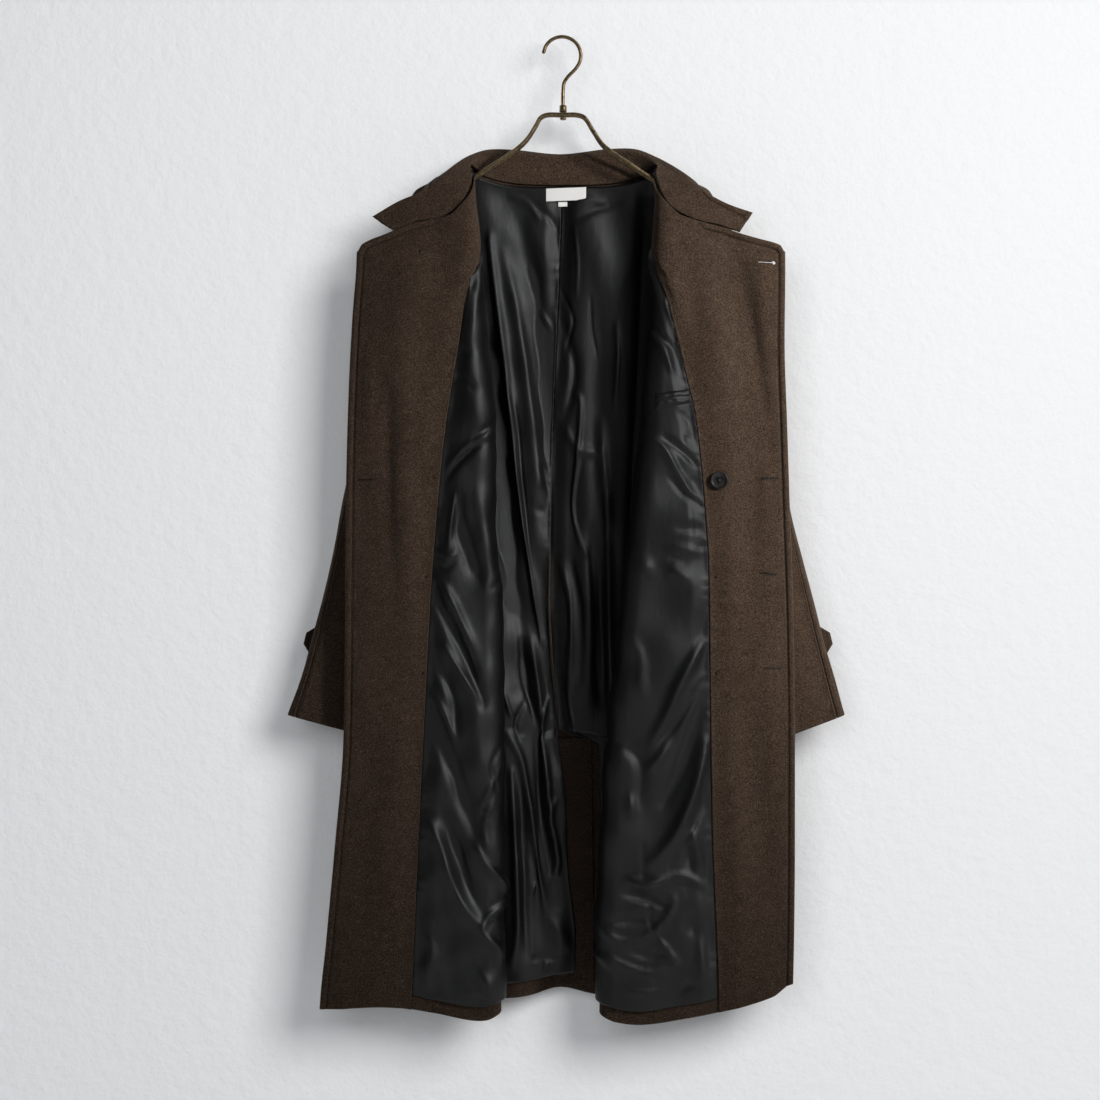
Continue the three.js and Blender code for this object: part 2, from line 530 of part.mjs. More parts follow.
// Rows of a front are closer where the edge turns
const FRONT_ROWS = [0, 0.02, 0.045, 0.075, 0.105, 0.14, 0.2, 0.28, 0.37, 0.47, 0.58, 0.69, 0.8, 0.9, 0.982, 1];
const FRONT_STATIONS = [0, 0.022, 0.136, 0.176, 0.249, 0.34, 0.4, 0.44, 0.47, 0.5, 0.53, 0.56, 0.59, 0.62,
  0.7, 0.78, 0.86, 0.907, 0.953, 1];
const CREST = { first: FRONT_STATIONS.indexOf(BEND_START), seam: FRONT_STATIONS.indexOf(SEAM_AT_CREST.station) };
const SLIVER = 0.03;
const SEAM_CLEAR = 0.003;
const SEAM_RISE = { left: -296, right: -318, reach: 56, height: 5.5 };

function makeFront(name) {
  const side = sides[name];
  const flip = side.sign > 0;
  const rows = FRONT_ROWS.length - 1;
  const last = FRONT_STATIONS.length - 1;
  const surface = (i, j) => frontPoint(side, between(FRONT_STATIONS, i), between(FRONT_ROWS, j));
  const panel = makePanel(surface, last, rows, flip);
  side.front = panel;
  addPiece(`front_${name}`, layer(panel, last, rows, -WOOL_HALF, WOOL_HALF), 'wool');

  // The seam's height depends on its own station, so it is found by repeating
  const seamAt = (v) => {
    let u = 0.3;
    for (let k = 0; k < 16; k += 1) {
      const z = lerp(frontTop(side, u), read(side.hem, 'u', 'z', u), v);
      u = lerp(u, seamStation(side, z), 0.6);
    }
    return u;
  };
  const seams = FRONT_ROWS.map(seamAt);

  // Columns past the crest's start are slivers where the seam lies on the flap
  const facingPlace = (i, j) => {
    const seam = placeIn(FRONT_STATIONS, between(seams, j) - SEAM_CLEAR);
    const spare = CREST.seam - CREST.first;
    if (i <= CREST.first) return [i * Math.min(1, (seam - spare * SLIVER) / CREST.first), j];
    return [Math.min(i, seam - (CREST.seam - i) * SLIVER), j];
  };
  // Where the seam leaves the crest, both layers stand a little prouder of the rounded wool
  const lift = (i, j) => {
    const z = onPanel(panel, CREST.first, j, 0).z;
    const near = Math.max(0, 1 - Math.abs(i - CREST.first - 1.2) / 3.2);
    return SEAM_RISE.height * Math.exp(-(((z - SEAM_RISE[name]) / SEAM_RISE.reach) ** 2)) * Math.min(1, near * 2);
  };
  const facing = layer(
    panel, CREST.seam, rows, -INNER_NEAR - FACING, -INNER_NEAR, facingPlace, null, lift);
  addPiece(`facing_${name}`, facing, 'wool');

  // The lining stops one row short of the hem, and shares the wool's stations round the crest
  const lead = 3;
  const liningPlace = (i, j) => {
    const seam = placeIn(FRONT_STATIONS, between(seams, j) + SEAM_CLEAR);
    const start = Math.max(CREST.first, seam + lead * SLIVER);
    if (i <= lead) return [lerp(seam, start, i / lead), j];
    const column = Math.max(CREST.first + i - lead, seam + i * SLIVER);
    return [Math.min(column, j < 2 ? last - 0.5 : last), j];
  };
  const columns = lead + last - CREST.first;
  const lining = layer(panel, columns, rows - 1, -INNER_NEAR - LINING, -INNER_NEAR, liningPlace, null, lift);
  addPiece(`front_lining_${name}`, lining, 'lining');
}

const BACK_ROWS = [0, 0.025, 0.06, 0.12, 0.2, 0.3, 0.41, 0.53, 0.65, 0.68, 0.78, 0.89, 0.981, 1];
const BACK_STATIONS = [0, 0.06, 0.12, 0.18, 0.24, 0.31, 0.38, 0.42, 0.47, 0.56, 0.65, 0.74, 0.83, 0.92, 1];

function makeBack(name) {
  const side = sides[name];
  const rows = BACK_ROWS.length - 1;
  const last = BACK_STATIONS.length - 1;
  const surface = (i, j) => backPoint(side, between(BACK_STATIONS, i), between(BACK_ROWS, j));
  const panel = makePanel(surface, last, rows, side.sign > 0);
  addPiece(`back_${name}`, layer(panel, last, rows, -WOOL_HALF, WOOL_HALF), 'wool');

  // At the vent the left lining runs on over the underlap, and the right one stops beside it
  const centre = (j) => surface(last, j);
  const stopAt = (j) => {
    const z = centre(j).z;
    if (name === 'left' || z > VENT.liningTopZ) return last;
    const x = read(side.vent, 'z', 'x', z);
    let i = last;
    while (i > 1 && surface(i, j).x < x) i -= 0.05;
    return i;
  };
  const stops = BACK_ROWS.map((v, j) => stopAt(j));
  const place = (i, j) => [Math.min(i, stops[j] - (last - i) * SLIVER), j];
  const move = (i, j) => {
    const z = centre(j).z;
    if (name === 'right' || z > VENT.liningTopZ || i < last - 1) return new THREE.Vector3();
    const dx = i === last ? read(side.vent, 'z', 'x', z) - centre(j).x : 0;
    return new THREE.Vector3(dx, -VENT.liningLift, 0);
  };
  const lining = layer(panel, last, rows - 1, -INNER_NEAR - LINING, -INNER_NEAR, place, move);
  addPiece(`back_lining_${name}`, lining, 'lining');
}

// The underlap is sewn inside the left back's edge and passes inside the right back
function makeVentUnderlap() {
  const columns = 5;
  const rows = 6;
  const surface = (i, j) => {
    const z = lerp(VENT.topZ, VENT.hemZ, j / rows);
    const seam = read(centreSeamRows, 'z', 'x', z);
    const x = seam - VENT.underlapSewn + ((VENT.underlapWidth + VENT.underlapSewn) * i) / columns;
    const y = Math.min(backDepth(sides.left, Math.min(x, seam), z), backDepth(sides.right, Math.max(x, seam), z));
    return new THREE.Vector3(x, y - VENT.underlapInset, z);
  };
  addPiece('vent_underlap', wall(surface, columns, rows, -WOOL_HALF, WOOL_HALF), 'wool');
}

// Sleeve ring point: angle 0 at the outer corner, 90 towards the viewer
function sleevePoint(rows, sign, degrees, row) {
  const k = Math.min(Math.floor(row), rows.length - 2);
  const at = {};
  for (const column of Object.keys(rows[0])) at[column] = lerp(rows[k][column], rows[k + 1][column], row - k);
  const angle = THREE.MathUtils.degToRad(degrees);
  const out = Math.cos(angle);
  const x = lerp(at.inX, at.outX, (1 + out) / 2);
  const z = lerp(at.inZ, at.outZ, (1 + out) / 2);
  const y = at.midY - at.half * Math.sin(angle);
  return new THREE.Vector3(sign * x, y, z);
}

function makeSleeve(name) {
  const { sign } = sides[name];
  const rows = name === 'left' ? leftSleeveRows : rightSleeveRows;
  const flip = sign < 0;
  const pieces = [
    { node: `top_sleeve_${name}`, from: SLEEVE_FORE_SEAM - 180 + 5, to: SLEEVE_FORE_SEAM },
    { node: `under_sleeve_${name}`, from: SLEEVE_FORE_SEAM, to: SLEEVE_FORE_SEAM + 180 + 5 },
  ];
  const columns = 7;
  for (const piece of pieces) {
    const surface = (i, j) => sleevePoint(rows, sign, lerp(piece.from + 0.35, piece.to - 0.35, i / columns), j);
    addPiece(piece.node, wall(surface, columns, rows.length - 1, -WOOL_HALF, WOOL_HALF, flip), 'wool');
  }
}

// Collar: its neck edge is taken from the panels it is sewn to
function collarRow(side, row) {
  const neck = row.on === 'back' ? backPoint(side, row.u, 0) : frontPoint(side, row.u, 0);
  if (row.on === 'back') neck.x = row.u === 1 ? 0 : neck.x;
  neck.z += row.on === 'back' ? 2.8 : 5;
  const point = (p) => new THREE.Vector3(side.sign * p[0], p[1], p[2]);
  const foldIn = point(row.in);
  const foldOut = point(row.out);
  const crown = foldIn.clone().lerp(foldOut, 0.5);
  crown.z += row.crown;
  return [neck, foldIn, crown, foldOut, point(row.leaf)];
}

function makeCollar() {
  const left = leftCollarRows.map((row) => collarRow(sides.left, row)).reverse();
  const right = rightCollarRows.slice(1).map((row) => collarRow(sides.right, row));
  const lines = [...left, ...right];
  const stations = [0, 0.5, 1, 1.5, 2, 2.5, 3, 3.5, 4];
  const curveOf = (k) => new THREE.CatmullRomCurve3(lines.map((line) => line[k]), false, 'centripetal');
  const curves = [0, 1, 2, 3, 4].map(curveOf);
  const columns = 26;
  const surface = (i, j) => {
    const along = i / columns;
    const across = between(stations, j);
    const marks = curves.map((curve) => curve.getPoint(along));
    const k = Math.min(Math.floor(across), 3);
    return marks[k].clone().lerp(marks[k + 1], across - k);
  };
  const half = LAYER_GAP / 2;
  addPiece('upper_collar', wall(surface, columns, stations.length - 1, -FACING - half, -half), 'wool');
  addPiece('under_collar', wall(surface, columns, stations.length - 1, half, half + FACING), 'wool');
}

function makeHanger() {
  const circle = new THREE.Shape();
  circle.absarc(0, 0, WIRE_RADIUS, 0, Math.PI * 2);
  const sweep = (points, steps) => new THREE.ExtrudeGeometry(circle, {
    steps, curveSegments: 4, bevelEnabled: false,
    extrudePath: new THREE.CatmullRomCurve3(points, false, 'centripetal'),
  });
  const hook = [];
  for (let angle = HOOK.tipAngle; angle >= -20; angle -= 24) {
    const turn = THREE.MathUtils.degToRad(angle);
    hook.push(new THREE.Vector3(HOOK.radius * Math.cos(turn), 0, HOOK.centreZ + HOOK.radius * Math.sin(turn)));
  }
  for (const [x, z] of [[17.4, -39.5], [8.6, -48.6], [2.9, -57], [HOOK.stemX, -68], [HOOK.stemX, HOOK.stemEndZ]]) {
    hook.push(new THREE.Vector3(x, 0, z));
  }
  addPiece('hanger_hook', sweep(hook, 30), 'brass');

  const ring = (profile, name) => {
    const points = profile.map(([radius, z]) => new THREE.Vector2(radius, z));
    points.push(points[0].clone());
    const geometry = new THREE.LatheGeometry(points, 16);
    geometry.rotateX(Math.PI / 2);
    geometry.translate(HOOK.stemX, 0, 0);
    addPiece(name, geometry, 'brass');
  };
  const f = FERRULE;
  ring([[f.inner, f.bottomZ], [f.outer, f.bottomZ], [f.outer, f.topZ], [f.inner, f.topZ]], 'hanger_ferrule');
  const nub = new THREE.CylinderGeometry(RIVET.radius, RIVET.radius * 0.75, RIVET.topZ - RIVET.bottomZ, 16);
  nub.rotateX(Math.PI / 2);
  nub.translate(HOOK.stemX, 0, (RIVET.topZ + RIVET.bottomZ) / 2);
  addPiece('hanger_rivet', nub, 'brass');

  for (const [name, depth] of [['front', -1], ['back', 1]]) {
    const points = [
      ...leftWireRows.map((p) => new THREE.Vector3(-p.x, depth * p.y, p.z)),
      ...rightWireRows.map((p) => new THREE.Vector3(p.x, depth * p.y, p.z)),
    ];
    addPiece(`hanger_wire_${name}`, sweep(points, 52), 'brass');
  }
}

// Button turned about its own axis, its face towards +Z until it is placed
function buttonGeometry(scale) {
  const b = BUTTON;
  const profile = [
    [0, 0], [b.radius * 0.8, 0], [b.radius, b.thick * 0.45], [b.radius * 0.96, b.thick],
    [b.radius - b.rim, b.thick], [b.radius - b.rim * 1.7, b.thick - b.dish], [0, b.thick - b.dish],
  ];
  const geometry = new THREE.LatheGeometry(profile.map(([r, z]) => new THREE.Vector2(r * scale, z * scale)), 14);
  geometry.rotateX(Math.PI / 2);
  return geometry;
}

// Place on a front panel's grid of a point given by its distance from the centre line and its height
function flapPlace(side, x, z) {
  const u = stationAt(side, x, z);
  const v = (frontTop(side, u) - z) / (frontTop(side, u) - read(side.hem, 'u', 'z', u));
  return [placeIn(FRONT_STATIONS, u), placeIn(FRONT_ROWS, v)];
}

// A button lies on the outside of a front, or on its facing, and faces away from it
function placeButton(spec, onFacing) {
  const side = sides[spec.side];
  const [i, j] = flapPlace(side, spec.x, spec.z);
  const rest = onFacing ? -INNER_NEAR - FACING - BUTTON.clear : WOOL_HALF + BUTTON.clear;
  const seat = onPanel(side.front, i, j, rest);
  const direction = seat.clone().sub(onPanel(side.front, i, j, 0)).normalize();
  const mesh = addPiece(spec.name, buttonGeometry(1), 'horn');
  mesh.position.copy(seat);
  mesh.quaternion.setFromUnitVectors(new THREE.Vector3(0, 0, 1), direction);
}

function makeLabel(name, spec) {
  const surface = (i, j) => {
    const x = lerp(spec.x0, spec.x1, i / spec.columns);
    const z = lerp(spec.topZ, spec.bottomZ, j);
    const inward = INNER_NEAR + LINING + 0.5;
    return new THREE.Vector3(x, liningDepth(x, z) - inward, z);
  };
  addPiece(name, wall(surface, spec.columns, 1, 0, spec.thick, true), 'woven');
}

// Depth of the back's middle surface near the neck
function liningDepth(x, z) {
  const side = x < 0 ? sides.left : sides.right;
  const u = 0.12 + 0.88 * (1 - Math.abs(x) / (sideXAt(side, z) - CORNER_RADIUS));
  const ease = shoulderEase(read(backTopRows, 'u', 'z', u) - z);
  return lerp(read(backTopRows, 'u', 'y', u), backDepth(side, x, z), ease);
}

function makeWelts() {
  const side = sides.right;
  for (const welt of WELTS) {
    const columns = 5;
    const surface = (i, j) => {
      const x = lerp(welt.x0, welt.x1, i / columns);
      const lens = Math.sin((Math.PI * i) / columns);
      const z = lerp(welt.topZ, welt.bottomZ, j) - welt.sag * lens * (welt.sag < 0 ? j - 1 : 1 - j) * 0.6;
      const rise = INNER_NEAR + FACING + LAYER_GAP;
      return onPanel(side.front, ...flapPlace(side, x, z), -rise);
    };
    addPiece(welt.name, wall(surface, columns, 1, -WELT_THICK, 0), 'lining');
  }
}

function makeCuffTabs() {
  for (const name of ['left', 'right']) {
    const { sign } = sides[name];
    const place = cuffTabs[name];
    const t = CUFF_TAB;
    const outline = new THREE.Shape();
    outline.moveTo(t.past, -t.width / 2 + t.point);
    outline.lineTo(t.past, t.width / 2 - t.point);
    outline.lineTo(t.past - t.point, t.width / 2);
    outline.lineTo(t.past - t.length, t.width / 2);
    outline.lineTo(t.past - t.length, -t.width / 2);
    outline.lineTo(t.past - t.point, -t.width / 2);
    outline.closePath();
    const strap = new THREE.ExtrudeGeometry(outline, { depth: t.thick, bevelEnabled: false, steps: 1 });
    strap.rotateX(Math.PI / 2);
    const mesh = addPiece(`cuff_tab_${name}`, strap, 'wool');
    mesh.position.set(sign * place.edgeX, place.backY + t.thick, place.edgeZ);
    mesh.rotation.set(0, sign < 0 ? Math.PI : 0, 0);
    mesh.rotation.y += THREE.MathUtils.degToRad(-sign * place.turn);
    const button = addPiece(`cuff_button_${name}`, buttonGeometry(CUFF_BUTTON_SCALE), 'horn');
    button.position.set(sign * (place.edgeX - 12), place.backY + t.thick + 0.4, place.edgeZ + 3);
    button.quaternion.setFromUnitVectors(new THREE.Vector3(0, 0, 1), new THREE.Vector3(0, 1, 0));
  }
}

for (const name of ['left', 'right']) {
  makeFront(name);
  makeBack(name);
  makeSleeve(name);
}
makeVentUnderlap();
makeCollar();
makeHanger();
outerButtons.forEach((spec) => placeButton(spec, false));
placeButton(INNER_BUTTON, true);
makeLabel('neck_label', LABEL);
makeLabel('size_tab', SIZE_TAB);
makeWelts();
makeCuffTabs();

export default coat;
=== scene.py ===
# Chesterfield coat on its hanger. Millimetres in the tables, metres in the scene.
# +X is the viewer's right, +Y goes away from the viewer, +Z is up, the hook's rest is the origin.
import json
import math

import bpy
import numpy as np
from mathutils import Matrix, Vector
from mathutils.bvhtree import BVHTree

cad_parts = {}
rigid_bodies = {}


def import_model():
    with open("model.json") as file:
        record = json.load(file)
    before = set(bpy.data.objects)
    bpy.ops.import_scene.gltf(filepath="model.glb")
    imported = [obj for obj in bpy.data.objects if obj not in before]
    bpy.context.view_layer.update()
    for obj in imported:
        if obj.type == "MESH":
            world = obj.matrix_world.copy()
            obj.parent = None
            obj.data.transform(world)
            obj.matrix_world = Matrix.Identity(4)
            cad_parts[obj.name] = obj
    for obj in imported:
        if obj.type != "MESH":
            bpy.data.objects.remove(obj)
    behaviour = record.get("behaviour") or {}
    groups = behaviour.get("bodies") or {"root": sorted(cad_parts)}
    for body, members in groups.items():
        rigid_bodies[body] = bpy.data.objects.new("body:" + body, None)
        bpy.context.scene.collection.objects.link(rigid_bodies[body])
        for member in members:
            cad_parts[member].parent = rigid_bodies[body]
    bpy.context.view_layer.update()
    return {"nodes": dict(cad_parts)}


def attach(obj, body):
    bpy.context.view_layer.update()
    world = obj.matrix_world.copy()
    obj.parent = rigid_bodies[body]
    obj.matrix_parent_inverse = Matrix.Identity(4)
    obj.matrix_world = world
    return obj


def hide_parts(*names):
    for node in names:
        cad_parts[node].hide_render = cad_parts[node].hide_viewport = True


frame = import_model()
print("frame loaded:", len(frame["nodes"]), "nodes")


# Sizes shared with the part: layers are distances from the wool's middle, the lining side is negative
woolSpan = (-1.1, 1.1)
facingSpan = (-3.5, -1.5)
liningSpan = (-2.5, -1.5)
seamGap = 0.4
shoulderGap = 0.6
bendStart = 0.44
bendEnd = 0.62
cornerStart = 0.86
cornerRadius = 24
shoulderDrop = 40
backY = 30
armhole = {"topZ": -213, "bottomZ": -450, "topX": 197, "centreY": 2, "halfDepth": 25}


def tableOf(keys, rows):
    return {key: np.array([row[k] for row in rows], float) for k, key in enumerate(keys)}


shoulderRows = tableOf(("x", "z"), [
    (100, -163), (120, -166), (150, -180), (180, -196), (200, -214),
])
leftRows = tableOf(("z", "edgeX", "edgeY", "crestX", "foldY", "underY", "sideX"), [
    (-166, 262, -42, 116, -12, -4, 197), (-180, 262, -44, 117, -28, -17, 197),
    (-196, 262, -46, 117, -39, -22, 197), (-220, 262, -48, 117, -48, -24, 197),
    (-250, 262, -50, 115, -54, -25, 195), (-300, 263, -54, 111, -58, -25, 192),
    (-370, 268, -56, 107, -61, -25, 188), (-475, 273, -57, 94, -62, -26, 184),
    (-600, 276, -58, 92, -63, -26, 183), (-750, 277, -58, 82, -63, -27, 182),
    (-900, 279, -58, 80, -63, -28, 182), (-1050, 291, -57, 80, -63, -29, 216),
    (-1160, 301, -56, 80, -64, -30, 242), (-1265, 310, -56, 79, -64, -31, 258),
])
rightRows = tableOf(("z", "edgeX", "edgeY", "crestX", "foldY", "underY", "sideX"), [
    (-166, 285, -42, 118, -12, -4, 197), (-180, 285, -44, 120, -28, -17, 197),
    (-196, 285, -46, 122, -39, -22, 197), (-220, 285, -48, 124, -48, -24, 197),
    (-250, 285, -50, 124, -54, -25, 195), (-300, 285, -54, 122, -58, -25, 192),
    (-400, 284, -56, 116, -61, -25, 187), (-500, 287, -57, 107, -62, -26, 184),
    (-600, 290, -58, 97, -63, -26, 183), (-750, 295, -58, 80, -63, -27, 182),
    (-900, 297, -58, 64, -63, -28, 182), (-1050, 297, -57, 54, -63, -29, 216),
    (-1160, 296, -56, 50, -64, -30, 242), (-1270, 294, -56, 49, -64, -31, 258),
])
leftTopRows = tableOf(("u", "z"), [
    (0, -284), (0.022, -274), (0.136, -259), (0.176, -253.5), (0.249, -246), (0.312, -243), (0.396, -238),
    (0.44, -225), (0.5, -196), (0.56, -176), (0.62, -166),
])
rightTopRows = tableOf(("u", "z"), [
    (0, -284), (0.02, -275), (0.1, -267), (0.162, -261), (0.242, -252), (0.339, -244), (0.4, -238),
    (0.44, -225), (0.5, -198), (0.56, -176), (0.62, -166),
])
leftHemRows = tableOf(("u", "z"), [
    (0, -1251), (0.17, -1247), (0.3, -1255), (0.42, -1265), (0.5, -1258), (0.62, -1252), (1, -1246),
])
rightHemRows = tableOf(("u", "z"), [
    (0, -1219), (0.05, -1234), (0.14, -1249), (0.26, -1262), (0.38, -1270), (0.5, -1260), (0.62, -1252),
    (1, -1246),
])
leftSeamRows = tableOf(("z", "x"), [
    (-295, 113), (-317, 119), (-404, 132), (-498, 147), (-574, 155.5), (-735, 168), (-855, 174),
    (-1045, 183), (-1185, 189), (-1265, 192),
])
rightSeamRows = tableOf(("z", "x"), [
    (-301, 125.5), (-340, 133), (-410, 150), (-454, 160), (-487, 168), (-594, 180), (-697, 186.5),
    (-835, 188), (-1013, 190.5), (-1270, 199),
])
centreSeamRows = tableOf(("z", "x"), [
    (-188, 0), (-293, -3), (-480, -11), (-600, -15), (-730, -16), (-800, -13), (-909, -5), (-1260, -2),
])
backTopRows = tableOf(("u", "z", "y"), [
    (0, -213, 0), (0.12, -196, 0), (0.24, -180, 0), (0.38, -166.5, 0), (0.42, -169, 12), (0.47, -176, 19),
    (0.56, -182, 23), (0.74, -187, 27), (1, -188, 28),
])
backHemRows = tableOf(("u", "z"), [
    (0, -1246), (0.4, -1250), (0.65, -1252), (0.85, -1246), (1, -1238),
])
leftVentRows = tableOf(("z", "x"), [
    (-909, -5), (-982, 4), (-1089, 9), (-1170, 18), (-1240, 17),
])
rightVentRows = tableOf(("z", "x"), [
    (-880, 48), (-1000, 50), (-1240, 52),
])
leftSleeveRows = tableOf(("outX", "outZ", "inX", "inZ", "midY", "half"), [
    (199.2, -214, 186.2, -449, 2, 25), (211, -232, 198, -460, 0, 32), (220, -272, 201, -482, -4, 35),
    (233, -350, 201, -525, -6, 36), (256, -465, 202, -597, -9, 35), (281, -597, 201, -685, -14, 30),
    (305, -713, 197, -775, -19, 23), (330, -808, 192, -858, -22, 16), (353.5, -878, 188, -921, -22, 13),
])
rightSleeveRows = tableOf(("outX", "outZ", "inX", "inZ", "midY", "half"), [
    (199.2, -214, 186.2, -449, 2, 25), (214, -232, 199, -460, 0, 32), (226, -272, 202, -482, -4, 35),
    (243, -350, 203, -527, -6, 36), (267, -465, 205, -602, -9, 35), (292, -600, 206, -694, -14, 30),
    (319, -712, 205, -786, -19, 23), (344, -808, 205, -870, -22, 16), (364, -878, 204, -936, -22, 13),
])
leftCollarRows = (
    (0, 1, (0, 33, -150.5), (0, 43, -150.5), (0, 46, -212), 5),
    (0, 0.66, (62, 31, -145), (64, 41, -145), (68, 45, -210), 5),
    (0, 0.5, (96, 20, -147), (100, 30, -147), (115, 43, -204), 5),
    (1, 0.62, (117, 3, -156), (123, 12, -156), (150, 39, -184), 4),
    (1, 0.53, (131, -17, -170), (138, -9, -168), (160, 28, -180), 4),
    (1, 0.44, (151, -38, -189), (157, -31, -187), (171, -19, -195), 2),
    (1, 0.34, (174, -47, -211), (178, -46.5, -209), (183, -46, -207), 0),
    (1, 0.249, (203, -48, -226), (205, -48, -223), (209, -48, -218), 0),
    (1, 0.15, (232, -49, -246), (236, -49, -243), (243, -49, -238), 0),
)
rightCollarRows = (
    (0, 1, (0, 33, -150.5), (0, 43, -150.5), (0, 46, -212), 5),
    (0, 0.66, (62, 31, -144.5), (64, 41, -144.5), (68, 45, -210), 5),
    (0, 0.5, (94, 20, -146.5), (98, 30, -146.5), (115, 43, -204), 5),
    (1, 0.62, (119, 3, -158), (125, 12, -158), (150, 39, -184), 4),
    (1, 0.53, (139, -19, -175), (146, -11, -171), (160, 28, -181), 4),
    (1, 0.44, (163, -38, -194), (169, -31, -192), (177, -20, -200), 2),
    (1, 0.35, (183, -47, -213), (185, -46.5, -211), (188, -46, -209), 0),
    (1, 0.26, (207, -48, -228), (210, -48, -225), (213, -48, -222), 0),
    (1, 0.175, (235, -49, -246), (239, -49, -241), (244, -49, -233), 0),
)

backFolds = {
    -1: ((-106, 4, 3, 11, 22, -175, -800), (-110, -52, 2, 20, 28, -300, -1260),
         (-135, -130, 2, 26, 32, -430, -1260), (-150, -205, 0, 22, 28, -700, -1260)),
    1: ((24, 34, 1, 7, 14, -200, -760), (110, 84, 2, 20, 30, -300, -1260),
        (140, 150, 2, 26, 32, -430, -1260), (150, 212, 0, 22, 28, -700, -1260)),
}
sides = {
    "left": {"sign": -1, "rows": leftRows, "top": leftTopRows, "hem": leftHemRows, "seam": leftSeamRows,
             "seamLimit": -295, "rise": -296, "sleeve": leftSleeveRows, "collar": leftCollarRows},
    "right": {"sign": 1, "rows": rightRows, "top": rightTopRows, "hem": rightHemRows, "seam": rightSeamRows,
              "seamLimit": -301, "rise": -318, "sleeve": rightSleeveRows, "collar": rightCollarRows},
}


# Smooth reading of a column that never overshoots its rows
def read(table, key, column, at):
    k, c = table[key], table[column]
    if k[1] < k[0]:
        k, c = k[::-1], c[::-1]
    at = np.clip(np.asarray(at, float), k[0], k[-1])
    i = np.clip(np.searchsorted(k, at, side="right") - 1, 0, len(k) - 2)
    span = np.diff(k)
    rise = np.diff(c) / span
    product = rise[:-1] * rise[1:]
    total = rise[:-1] + rise[1:]
    slope = np.zeros(len(k))
    slope[1:-1] = np.where(product > 0, 2 * product / np.where(product > 0, total, 1), 0)
    t = (at - k[i]) / span[i]
    t2 = t * t
    t3 = t2 * t
    return ((2 * t3 - 3 * t2 + 1) * c[i] + (t3 - 2 * t2 + t) * slope[i] * span[i]
            + (3 * t2 - 2 * t3) * c[i + 1] + (t3 - t2) * slope[i + 1] * span[i])


def lerp(a, b, t):
    return a + (b - a) * t


# Evenly spaced runs of (first, last, count), joined where they meet
def runs(*parts):
    made = [np.linspace(*part) for part in parts]
    return np.concatenate([row[:-1] for row in made[:-1]] + made[-1:])


def smooth(a, b, x):
    t = np.clip((x - a) / (b - a), 0, 1)
    return t * t * (3 - 2 * t)


def armholeOpen(z):
    middle = (armhole["topZ"] + armhole["bottomZ"]) / 2
    half = (armhole["topZ"] - armhole["bottomZ"]) / 2
    return np.sqrt(np.maximum(0, 1 - ((z - middle) / half) ** 2))


def shoulderEase(drop):
    t = np.clip(drop / shoulderDrop, 0, 1)
    return np.sqrt(np.maximum(0, 1 - (1 - t) ** 2))


def frontTop(side, u):
    x = lerp(120, armhole["topX"], (u - bendEnd) / (1 - bendEnd))
    return np.where(u <= bendEnd, read(side["top"], "u", "z", u), read(shoulderRows, "x", "z", x))


# A front panel's middle surface: stations run from its edge round the folded crest to its side
def frontAt(side, u, z):
    rows = side["rows"]
    edgeX = read(rows, "z", "edgeX", z)
    edgeY = read(rows, "z", "edgeY", z)
    crestX = read(rows, "z", "crestX", z)
    foldY = read(rows, "z", "foldY", z)
    underY = read(rows, "z", "underY", z)
    sideX = read(rows, "z", "sideX", z)
    radius = (underY - foldY) / 2
    nearY = lerp(-shoulderGap, underY, shoulderEase(frontTop(side, u) - z))
    a = u / bendStart
    b = np.pi * (u - bendStart) / (bendEnd - bendStart)
    c = (u - bendEnd) / (cornerStart - bendEnd)
    d = (np.pi / 2) * np.clip((u - cornerStart) / (1 - cornerStart), 0, 1)
    opened = armholeOpen(z)
    above = z > armhole["bottomZ"]
    sideY = np.where(above, armhole["centreY"] - armhole["halfDepth"] * opened, armhole["centreY"])
    wrap = np.maximum(nearY, np.where(above, np.minimum(sideY, -shoulderGap), sideY - seamGap / 2))
    pick = [u <= bendStart, u <= bendEnd, u <= cornerStart]
    x = np.select(pick, [lerp(edgeX, crestX + radius, a), crestX + radius * (1 - np.sin(b)),
                         lerp(crestX + radius, sideX - cornerRadius, c)],
                  sideX - cornerRadius * (1 - lerp(np.sin(d), d / (np.pi / 2), opened)))
    y = np.select(pick, [lerp(edgeY, foldY, a * (2 - a)), foldY + radius * (1 - np.cos(b)),
                         lerp(underY, nearY, np.minimum(1, c * 6))],
                  lerp(nearY, wrap, 1 - np.cos(d)))
    return np.stack([side["sign"] * x, y, z + 0 * x], -1)


def frontPoint(side, u, v):
    return frontAt(side, u, lerp(frontTop(side, u), read(side["hem"], "u", "z", u), v))


def stationAt(side, x, z):
    edgeX = read(side["rows"], "z", "edgeX", z)
    crestX = read(side["rows"], "z", "crestX", z)
    radius = (read(side["rows"], "z", "underY", z) - read(side["rows"], "z", "foldY", z)) / 2
    straight = bendStart * (edgeX - x) / (edgeX - crestX - radius)
    across = np.clip((crestX + radius - x) / radius, 0, 1)
    bent = bendStart + (bendEnd - bendStart) * np.arcsin(across) / np.pi
    return np.where(straight <= bendStart, np.maximum(straight, 0), bent)


# Station of the seam between facing and lining in each row
def seamStations(side, v):
    u = np.full(np.shape(v), 0.3)
    for step in range(16):
        z = lerp(frontTop(side, u), read(side["hem"], "u", "z", u), v)
        low = np.minimum(z, side["seamLimit"])
        below = stationAt(side, read(side["seam"], "z", "x", low), low)
        u = lerp(u, lerp(below, 0.53, np.clip((z - side["seamLimit"]) / 24, 0, 1)), 0.6)
    return u


